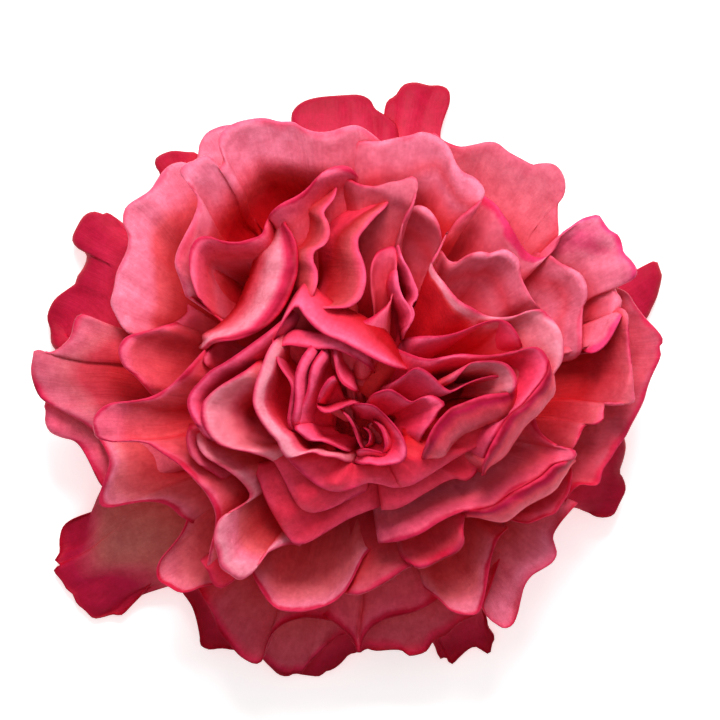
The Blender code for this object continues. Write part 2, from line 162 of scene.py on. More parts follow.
# The camera looks straight down, and its frame is this wide at the height of the middle petals.
VIEW_WIDTH = 129.6 * MM
VIEW_MIDDLE = Vector((2.5 * MM, 3.6 * MM, 24.0 * MM))
VIEW_DISTANCE = 1.9
SENSOR_WIDTH = 36.0
CLIP_END = 10.0
LIGHT_TARGET = Vector((0.0, 0.0, 0.02))
WORLD_GLOW = 0.30
FLOOR_HALF = 3.0
FLOOR_GLOW = 0.52  # keeps the floor as white as the photograph's ground

CRIMSON = (0.38, 0.002, 0.028)
MAGENTA = (0.70, 0.020, 0.090)
PINK = (0.92, 0.120, 0.230)
SALMON = (0.91, 0.135, 0.205)
PALE = (0.96, 0.245, 0.375)
CORAL = (0.82, 0.066, 0.078)
ROSE = (0.88, 0.062, 0.110)
SCARLET = (0.65, 0.016, 0.031)
# Painted highlight: the palest pink, for faces where the light falls full.
PAINTED_HIGHLIGHT = (0.97, 0.310, 0.410)
# Painted shade: the deep red mixed in between close petals and used at the pale skin's depth.
PAINTED_SHADE_RED = (0.66, 0.005, 0.012)
WHITE = (1.0, 1.0, 1.0)
SEPAL_GREEN = (0.09, 0.19, 0.04)
SEPAL_PALE = (0.25, 0.36, 0.12)
FLOOR_WHITE = (0.98, 0.98, 0.98)
VEIN_SCALE = (1500.0, 160.0, 1.0)  # veins for each metre, across a petal and along it
PAINTED_SHADE_REACH = 14.0 * MM  # painted shade: how far away a petal still darkens its neighbour's colour
PAINTED_SHADE_START = 0.70  # painted shade: below this share of open sky a place's colour begins to darken
PAINTED_SHADE_FULL = 0.20
VEIN_STOPS = ((0.30, (0.85, 0.66, 0.70)), (0.62, WHITE))
BLOTCH_STOPS = ((0.38, (0.84, 0.66, 0.70)), (0.60, WHITE))
GRAIN_STOPS = ((0.32, (0.80, 0.62, 0.68)), (0.62, WHITE))
SEPAL_STOPS = ((0.35, SEPAL_GREEN), (0.75, SEPAL_PALE))

# Petal skins. The place of a colour stop is its distance from the rim, as a share of TINT_SPAN.
# The deeper reds towards the root are painted shade, and the palest bands near a rim are painted highlight.
INSIDE = [(0.0, MAGENTA), (0.05, PINK), (0.3, SALMON), (0.8, CORAL)]
OUTSIDE = [(0.0, CRIMSON), (0.08, MAGENTA), (0.3, PINK), (1.0, CORAL)]
UNDERSIDE = [(0.0, CRIMSON), (0.5, MAGENTA), (1.0, PINK)]
SKINS = {
    "pink": dict(front=[
        (0.0, MAGENTA), (0.018, MAGENTA), (0.036, PINK), (0.08, PINK), (0.17, SALMON), (0.28, PALE),
        (0.42, SALMON), (0.58, CORAL), (0.78, SCARLET)]),
    # The pale band near the rim is partly painted highlight; the deep reds further in are painted shade of
    # the cup's hollow.
    "cup": dict(front=[
        (0.0, PINK), (0.03, PINK), (0.07, PALE), (0.22, PALE), (0.31, SALMON), (0.41, CORAL),
        (0.54, (0.74, 0.012, 0.02)), (0.75, (0.66, 0.004, 0.006))]),
    # Painted shade: darkens fast inwards, for the deep hollow at the right.
    "hollow": dict(front=[
        (0.0, MAGENTA), (0.012, PINK), (0.05, (0.8, 0.13, 0.18)), (0.13, (0.7, 0.09, 0.13)),
        (0.24, (0.58, 0.05, 0.075)), (0.42, (0.44, 0.01, 0.016))]),
    "drape": dict(front=[
        (0.0, MAGENTA), (0.02, MAGENTA), (0.05, (0.66, 0.1, 0.17)), (0.3, (0.66, 0.12, 0.165)),
        (0.55, (0.64, 0.06, 0.09)), (0.8, SCARLET)], back=OUTSIDE),
    "ridge": dict(front=[
        (0.0, MAGENTA), (0.012, PINK), (0.03, PAINTED_HIGHLIGHT), (0.22, PAINTED_HIGHLIGHT), (0.32, SALMON), (0.46, CORAL),
        (0.64, SCARLET)], stray=2.0),
    "plain": dict(front=[
        (0.0, PINK), (0.012, PINK), (0.035, PALE), (0.12, PALE), (0.2, SALMON), (0.3, PALE), (0.42, SALMON),
        (0.58, CORAL), (0.78, SCARLET)]),
    "lobe": dict(front=[
        (0.0, CRIMSON), (0.025, MAGENTA), (0.06, (0.72, 0.13, 0.21)), (0.2, (0.68, 0.13, 0.175)),
        (0.3, (0.58, 0.04, 0.07)), (0.5, (0.45, 0.008, 0.016))]),
    "panel": dict(front=[
        (0.0, MAGENTA), (0.028, MAGENTA), (0.048, (0.92, 0.13, 0.24)), (0.09, (0.86, 0.12, 0.175)),
        (0.24, (0.74, 0.098, 0.13)), (0.45, (0.6, 0.056, 0.072)), (0.7, (0.48, 0.014, 0.022))]),
    # Painted shade on the part that runs in under the middle petals.
    "broad": dict(front=[
        (0.0, PINK), (0.012, PINK), (0.035, PALE), (0.16, PALE), (0.26, (0.78, 0.1, 0.13)),
        (0.4, (0.56, 0.04, 0.05)), (0.6, (0.48, 0.012, 0.016))]),
    "dusty": dict(front=[
        (0.0, MAGENTA), (0.02, (0.76, 0.13, 0.21)), (0.12, (0.7, 0.15, 0.215)), (0.3, (0.82, 0.16, 0.23)),
        (0.55, (0.8, 0.1, 0.15)), (0.8, SCARLET)]),
    # Painted highlight: a wide pale band near the rim.
    "bright": dict(front=[
        (0.0, MAGENTA), (0.012, PINK), (0.035, PAINTED_HIGHLIGHT), (0.24, PAINTED_HIGHLIGHT), (0.36, PALE), (0.5, SALMON),
        (0.75, SCARLET)], stray=2.0),
    "crest": dict(front=[
        (0.0, MAGENTA), (0.015, (0.9, 0.08, 0.2)), (0.05, (0.84, 0.08, 0.14)), (0.1, (0.68, 0.085, 0.105)),
        (0.2, (0.58, 0.055, 0.066)), (0.35, (0.48, 0.022, 0.03)), (0.5, (0.92, 0.06, 0.13)),
        (0.8, (0.92, 0.06, 0.13))], stray=2.0, gloom=0.6),
    "blush": dict(front=[
        (0.0, MAGENTA), (0.008, MAGENTA), (0.025, (1.0, 0.14, 0.29)), (0.06, (0.98, 0.1, 0.22)),
        (0.14, (0.93, 0.065, 0.15)), (0.26, (0.82, 0.035, 0.08)), (0.5, (0.5, 0.004, 0.012))], stray=0.8,
        gloom=0.6),
    "shell": dict(front=[
        (0.0, MAGENTA), (0.02, (0.9, 0.16, 0.3)), (0.07, (0.93, 0.27, 0.43)), (0.14, (0.84, 0.2, 0.3)),
        (0.26, (0.64, 0.14, 0.18)), (0.5, (0.6, 0.08, 0.1)), (0.8, SCARLET)], stray=2.0),
    "curl": dict(front=[
        (0.0, MAGENTA), (0.02, PINK), (0.05, PAINTED_HIGHLIGHT), (0.1, PALE), (0.17, (0.78, 0.15, 0.18)),
        (0.28, (0.6, 0.075, 0.085)), (0.45, (0.42, 0.012, 0.018))], stray=2.0),
    "hot": dict(front=[
        (0.0, (0.74, 0.02, 0.11)), (0.045, (0.9, 0.06, 0.22)), (0.075, PALE), (0.16, PALE), (0.3, SALMON),
        (0.6, CORAL)]),
    # Partly the petals' own dull mauve, partly painted shade of the low side away from the light.
    "dusk": dict(front=[
        (0.0, CRIMSON), (0.03, MAGENTA), (0.08, (0.64, 0.08, 0.13)), (0.3, (0.62, 0.085, 0.11)),
        (0.6, (0.55, 0.03, 0.05))], back=UNDERSIDE),
    "rosy": dict(front=[
        (0.0, CRIMSON), (0.015, MAGENTA), (0.028, MAGENTA), (0.06, PINK), (0.16, SALMON), (0.45, SALMON),
        (0.6, CORAL), (0.8, SCARLET)], back=OUTSIDE),
    "leaf": dict(front=[
        (0.0, MAGENTA), (0.04, CRIMSON), (0.085, MAGENTA), (0.115, PINK), (0.15, PAINTED_HIGHLIGHT), (0.26, PAINTED_HIGHLIGHT),
        (0.34, SALMON), (0.46, SCARLET)], stray=1.2),
    "lip": dict(front=[
        (0.0, MAGENTA), (0.012, MAGENTA), (0.03, CRIMSON), (0.055, (0.5, 0.006, 0.06)), (0.1, ROSE),
        (0.18, SALMON), (0.6, CORAL)]),
    # A narrow painted highlight next to the rim, then painted shade down to the deep red.
    "pale": dict(front=[
        (0.0, MAGENTA), (0.01, PINK), (0.025, PAINTED_HIGHLIGHT), (0.065, PAINTED_HIGHLIGHT), (0.085, (0.88, 0.11, 0.2)),
        (0.14, (0.84, 0.06, 0.11)), (0.24, (0.84, 0.03, 0.07)), (0.45, PAINTED_SHADE_RED)], stray=0.6, gloom=0.7),
    # The bright band just inside the margin is painted highlight; the crimson further in is partly painted
    # shade.
    "heart": dict(front=[
        (0.0, MAGENTA), (0.008, MAGENTA), (0.025, (1.0, 0.12, 0.27)), (0.05, (0.98, 0.09, 0.21)),
        (0.1, (0.97, 0.06, 0.16)), (0.2, (0.92, 0.038, 0.11)), (0.45, (0.86, 0.014, 0.035))], stray=0.8,
        gloom=0.45),
    # Crimson for the skirt under the heart: partly the petals' own deeper colour, partly painted shade of
    # the side away from the light.
    "wine": dict(front=[
        (0.0, MAGENTA), (0.012, (0.9, 0.05, 0.15)), (0.03, (0.96, 0.06, 0.14)),
        (0.08, (0.93, 0.046, 0.105)), (0.18, (0.84, 0.026, 0.07)), (0.32, (0.66, 0.01, 0.028)),
        (0.6, (0.5, 0.004, 0.012))], stray=3.0, gloom=0.8),
    # Pale just inside the margin, then painted shade over the cup's upper part.
    "mauve": dict(front=[
        (0.0, MAGENTA), (0.02, MAGENTA), (0.045, PALE), (0.12, (0.92, 0.2, 0.25)),
        (0.24, (0.8, 0.11, 0.135)), (0.4, (0.7, 0.07, 0.085)), (0.8, SCARLET)]),
    "margin": dict(front=[
        (0.0, CRIMSON), (0.1, (0.46, 0.006, 0.05)), (0.2, (0.56, 0.05, 0.09)), (0.34, (0.6, 0.14, 0.13)),
        (0.7, (0.6, 0.19, 0.16))], back=UNDERSIDE),
    "crimson": dict(front=[
        (0.0, CRIMSON), (0.12, (0.48, 0.006, 0.045)), (0.42, (0.66, 0.022, 0.08)),
        (0.8, (0.82, 0.07, 0.15))], back=UNDERSIDE),
}


def clamp(value):
    """The value held between 0 and 1."""
    return min(max(value, 0.0), 1.0)


def smooth_share(value):
    """0 to 1 with soft ends."""
    value = clamp(value)
    return value * value * (3.0 - 2.0 * value)


def step_value(table, layer):
    """The value for a layer, read between the two nearest rows of a table."""
    for (low, low_value), (high, high_value) in zip(table, table[1:]):
        if layer <= high:
            return low_value + (high_value - low_value) * (layer - low) / (high - low)
    return table[-1][1]


def petal(name, layer, lift, skin, *rim, fall=None, bowl=None, roof=None, depth=None,
          ledge=None, dive=None, tints=(1.0, 1.0)):
    """A petal's name, place, skin and the points of its rim from above, with what bends its face.

    lift: how far its rim lies above the dome. fall: the way from its rim to the valley beside it.
    bowl: how deep its face sinks. roof: how far its face rises to the heart. depth: how far its root
    lies below its rim. ledge: where a second drop starts, its height and its width. dive: how far the
    two ends of its rim dip. tints: how fast its colour deepens, along the rim, which sets how far its
    painted shade and painted highlight reach.
    """
    return {"name": name, "layer": layer, "lift": lift, "skin": skin, "rim": rim, "fall": fall,
            "roof": roof, "depth": depth, "ledge": ledge, "dive": dive, "tints": tints,
            "bowl": step_value(BOWL_DEPTHS, layer) if bowl is None else bowl}


# The rims of the two petals that also carry a turned edge.
RIGHT_LIP = [
    (8.6, 5.9), (10.6, 5.0), (13.0, 4.1), (15.3, 3.8), (17.8, 4.3), (20.5, 4.7), (23.2, 4.5), (25.9, 4.5),
    (28.6, 4.9), (31.0, 5.4), (32.8, 5.9), (34.4, 5.8), (35.6, 4.7), (36.2, 2.9), (35.8, 1.1), (34.6, -0.7),
    (33.1, -2.5), (31.3, -4.5), (29.5, -5.9), (27.9, -7.9), (26.5, -10.3), (25.4, -12.4), (24.5, -14.8)]
RIGHT_TONGUE = [
    (38.5, 2.9), (37.1, 0.7), (35.3, -2.0), (34.2, -4.5), (34.0, -7.2), (35.1, -9.5), (37.1, -11.2),
    (39.2, -12.1), (41.0, -12.6), (41.2, -13.9), (39.2, -14.6), (37.1, -15.3), (34.9, -17.3), (32.6, -18.7),
    (29.7, -20.3), (26.8, -22.3), (24.1, -23.2), (20.9, -23.6), (18.4, -24.5), (16.2, -25.7), (13.3, -27.5),
    (9.7, -28.8), (5.8, -29.3)]

# Guard petals, the lowest ring, crimson.
GUARD_PETALS = [
    petal("guard_top_a", 1.0, -13, "crimson",
        (-9.9, 47.0), (-9.7, 48.8), (-8.1, 50.4), (-5.4, 51.3), (-1.1, 51.7), (2.3, 51.8), (4.3, 50.9),
        (5.2, 49.3), (6.8, 48.2), (9.0, 46.4), (9.7, 43.2)),
    petal("guard_top_b", 1.0, -16, "crimson",
        (7.1, 46.5), (7.0, 48.2), (7.4, 50.6), (9.0, 51.8), (10.3, 53.6), (12.1, 54.2), (13.5, 54.0),
        (15.1, 53.6), (17.1, 53.6), (18.5, 52.9), (18.9, 51.5), (18.5, 49.5), (17.1, 47.3), (15.8, 45.5)),
    petal("guard_left_top", 1.0, -12, "crimson",
        (-26.3, 39.6), (-27.4, 41.2), (-29.2, 41.4), (-31.5, 41.6), (-33.5, 41.0), (-34.7, 40.1),
        (-34.6, 38.9), (-33.8, 37.6), (-34.0, 36.2), (-32.6, 33.8)),
    petal("guard_left", 1.0, -15, "crimson",
        (-39.6, 27.7), (-41.6, 29.2), (-43.4, 30.4), (-44.1, 30.1), (-45.9, 30.6), (-47.7, 29.9),
        (-49.1, 27.7), (-49.9, 25.6), (-49.0, 24.1), (-47.5, 23.2), (-47.2, 22.0), (-47.9, 20.2),
        (-49.0, 18.7), (-49.3, 17.5), (-51.1, 16.2), (-52.9, 14.8), (-54.0, 13.0), (-54.4, 11.2),
        (-53.8, 9.0), (-53.6, 6.5), (-51.8, 4.3)),
    petal("guard_low_left", 1.0, -17, "margin",
        (-41.0, -21.6), (-43.6, -23.4), (-46.1, -24.1), (-48.4, -24.8), (-50.4, -25.7), (-51.7, -27.0),
        (-52.2, -29.2), (-52.2, -31.5), (-53.1, -32.9), (-52.0, -33.7), (-53.3, -34.7), (-51.8, -36.7),
        (-50.9, -38.2), (-49.9, -38.9), (-49.1, -40.7), (-47.5, -42.1), (-46.1, -43.4), (-44.3, -43.2),
        (-42.5, -42.7), (-40.9, -42.8), (-39.1, -41.0), (-37.1, -38.9), (-35.3, -36.7), (-33.5, -34.2),
        (-30.6, -31.7)),
    petal("guard_low_a", 1.0, -14, "crimson",
        (-31.7, -36.0), (-29.9, -38.5), (-28.1, -41.0), (-27.2, -43.6), (-26.6, -46.8), (-26.5, -48.2),
        (-25.0, -49.0), (-22.7, -48.8), (-20.2, -49.1), (-18.0, -49.0), (-16.6, -46.8)),
    petal("guard_low_b", 1.0, -17, "crimson",
        (-17.3, -46.8), (-16.0, -49.7), (-14.8, -51.3), (-13.7, -52.4), (-12.4, -53.6), (-10.8, -54.0),
        (-9.4, -53.5), (-8.0, -53.7), (-5.0, -54.0), (-3.8, -53.1), (-2.5, -52.7), (-0.9, -51.5),
        (0.5, -50.0), (2.5, -49.3), (4.3, -46.8)),
    petal("guard_low_c", 1.0, -15, "dusk",
        (-17.3, -46.8), (-16.0, -49.5), (-14.8, -51.1), (-13.7, -52.2), (-12.4, -53.3), (-10.8, -53.8),
        (-9.4, -53.3), (-8.2, -53.4), (-7.0, -51.8), (-4.5, -49.3), (-1.9, -47.0), (0.2, -46.2)),
    petal("guard_low_right", 1.0, -17, "crimson",
        (15.1, -43.2), (16.2, -46.8), (16.6, -49.5), (17.3, -50.9), (18.2, -50.4), (19.1, -51.8),
        (20.7, -50.4), (22.3, -49.0), (23.6, -48.6), (24.8, -49.3), (26.1, -49.9), (26.5, -48.2),
        (27.0, -46.8), (25.9, -45.4), (25.6, -43.6), (24.8, -40.7)),
    petal("guard_right", 1.0, -14, "crimson",
        (41.9, -22.1), (43.6, -23.4), (45.2, -24.7), (46.8, -25.0), (48.6, -24.5), (49.7, -22.5),
        (50.8, -20.0), (50.4, -18.0), (49.7, -16.7), (50.4, -14.4), (50.8, -12.2), (50.4, -10.3),
        (49.0, -8.1)),
    petal("guard_right_top", 1.0, -17, "crimson",
        (50.8, 19.4), (52.9, 20.0), (54.7, 20.9), (56.5, 21.6), (57.1, 20.2), (57.5, 19.2), (57.3, 17.8),
        (56.9, 16.2), (56.5, 14.9), (55.6, 13.0), (54.5, 11.0), (52.2, 9.7)),
]

# Outer petals, broad and pale with a crimson rim.
OUTER_PETALS = [
    petal("low_mauve", 0.95, -8, "dusk",
        (0.7, -46.8), (2.5, -49.3), (3.6, -48.6), (5.4, -49.0), (9.0, -48.8), (10.4, -49.1), (11.3, -49.9),
        (13.0, -49.7), (14.6, -49.0), (15.8, -47.3), (18.2, -46.1), (19.8, -44.5), (21.6, -43.4),
        (23.8, -42.3), (25.9, -39.6)),
    petal("left_under", 0.95, -7, "rosy",
        (-51.5, -2.9), (-54.5, -4.1), (-54.4, -5.8), (-54.5, -7.6), (-53.6, -9.4), (-51.5, -10.4),
        (-49.3, -11.0), (-47.9, -12.4), (-46.4, -15.1), (-45.2, -17.6), (-44.1, -19.3), (-42.1, -20.2)),
    petal("top_right_broad", 0.92, -4, "dusty",
        (14.0, 43.2), (15.8, 44.6), (17.3, 43.4), (18.7, 42.7), (20.7, 42.1), (23.2, 42.5), (25.6, 43.0),
        (27.4, 42.7), (29.3, 41.2), (31.5, 40.0), (33.7, 38.9), (34.9, 39.1), (37.1, 39.1), (38.5, 38.2),
        (39.4, 36.5), (39.6, 34.6), (39.1, 32.9), (38.3, 32.0), (38.2, 29.9), (38.3, 27.7), (38.2, 25.9),
        (36.4, 23.8)),
    petal("top_left_small", 0.95, -9, "plain",
        (-28.8, 36.4), (-27.4, 38.9), (-26.8, 40.9), (-26.5, 42.8), (-25.4, 44.6), (-23.9, 45.5),
        (-22.0, 46.1), (-19.4, 46.1), (-17.3, 44.6)),
    petal("left_broad", 0.9, -4, "broad",
        (-27.0, 36.7), (-28.8, 39.1), (-31.1, 39.1), (-32.8, 38.0), (-34.0, 36.4), (-35.3, 34.4),
        (-37.1, 33.1), (-38.9, 32.0), (-40.0, 30.8), (-40.3, 28.6), (-39.4, 26.3), (-39.4, 24.1),
        (-40.3, 21.8), (-41.4, 19.4), (-41.9, 16.6), (-42.5, 13.9), (-41.6, 11.7), (-40.5, 9.7),
        (-38.9, 8.3), (-36.2, 8.8), (-33.5, 9.4), (-31.0, 10.4), (-28.8, 12.1), (-29.0, 13.9),
        tints=(1.0, 1.0, 1.2, 1.5, 1.3, 1.0)),
    petal("left_lobe", 0.92, -6, "lobe",
        (-45.4, 10.2), (-46.5, 11.3), (-47.7, 11.9), (-48.7, 11.5), (-49.3, 10.2), (-49.7, 8.2),
        (-50.8, 6.7), (-52.4, 5.4), (-54.4, 4.9), (-56.3, 5.4), (-56.7, 4.0), (-57.0, 1.6), (-56.4, -1.1),
        (-55.1, -3.4), (-52.4, -5.0), (-49.7, -6.5), (-47.5, -7.9), (-45.4, -9.7), (-43.2, -11.9)),
    petal("left_bowl", 0.88, -5, "mauve",
        (-45.0, -10.4), (-43.7, -12.2), (-42.8, -14.6), (-43.2, -16.6), (-43.9, -18.7), (-44.5, -20.5),
        (-44.5, -22.5), (-42.7, -23.0), (-40.0, -22.5), (-37.1, -22.0), (-34.4, -22.0), (-32.0, -22.7),
        (-29.9, -24.5), (-27.7, -25.9), tints=(2.2, 1.8, 1.0, 1.0)),
    petal("low_left_flap", 0.88, -5, "mauve",
        (-27.9, -22.5), (-28.6, -25.0), (-29.9, -27.9), (-31.7, -30.2), (-33.5, -32.4), (-34.2, -34.4),
        (-33.8, -36.2), (-32.0, -37.3), (-30.2, -38.3), (-28.4, -38.2), (-26.3, -37.4), (-24.1, -36.9),
        (-22.0, -36.0)),
    petal("low_wide", 0.92, -7, "dusk",
        (-27.0, -37.4), (-25.4, -40.0), (-23.9, -42.8), (-23.0, -45.4), (-21.2, -47.7), (-19.1, -50.0),
        (-16.7, -51.3), (-15.3, -50.8), (-14.6, -48.2), (-13.3, -45.7), (-11.0, -43.9), (-7.7, -43.0),
        (-4.7, -43.2), (-2.3, -43.6), (0.0, -43.9)),
    petal("low_tip", 0.9, -6, "rosy",
        (-5.0, -41.8), (-2.7, -43.4), (-0.4, -45.2), (1.3, -47.2), (2.2, -49.5), (2.7, -48.6), (3.1, -46.8),
        (4.5, -44.8), (7.0, -43.2), (9.7, -42.5), (12.1, -41.9), (14.4, -40.9), (16.4, -39.6),
        (17.5, -38.3), (15.8, -37.4)),
    petal("low_right_shell", 0.88, -5, "shell",
        (27.7, -32.4), (25.9, -37.8), (24.8, -40.7), (25.6, -42.8), (27.2, -44.1), (28.6, -44.8),
        (30.1, -44.1), (31.0, -41.9), (31.5, -39.6), (32.2, -37.1), (33.5, -35.3), (35.6, -34.0),
        (37.3, -32.8), (38.0, -31.3), (37.6, -29.7), (37.3, -28.1), (38.5, -25.9), (40.3, -23.8),
        (41.8, -22.3)),
    petal("right_drape", 0.9, -5, "drape",
        (48.1, 18.9), (48.2, 17.1), (50.8, 15.7), (52.4, 13.3), (54.4, 10.8), (55.8, 9.4), (57.1, 7.7),
        (57.1, 6.5), (56.5, 5.9), (56.9, 4.9), (56.5, 3.4), (55.4, 1.1), (54.5, -1.1), (53.8, -3.6),
        (52.7, -5.9), (51.5, -8.1), (50.4, -10.3), (49.0, -12.2), (47.9, -14.0), (46.4, -16.2),
        (45.7, -18.7), (44.3, -19.1), (42.3, -18.9), (40.7, -20.2), (39.6, -22.0)),
]

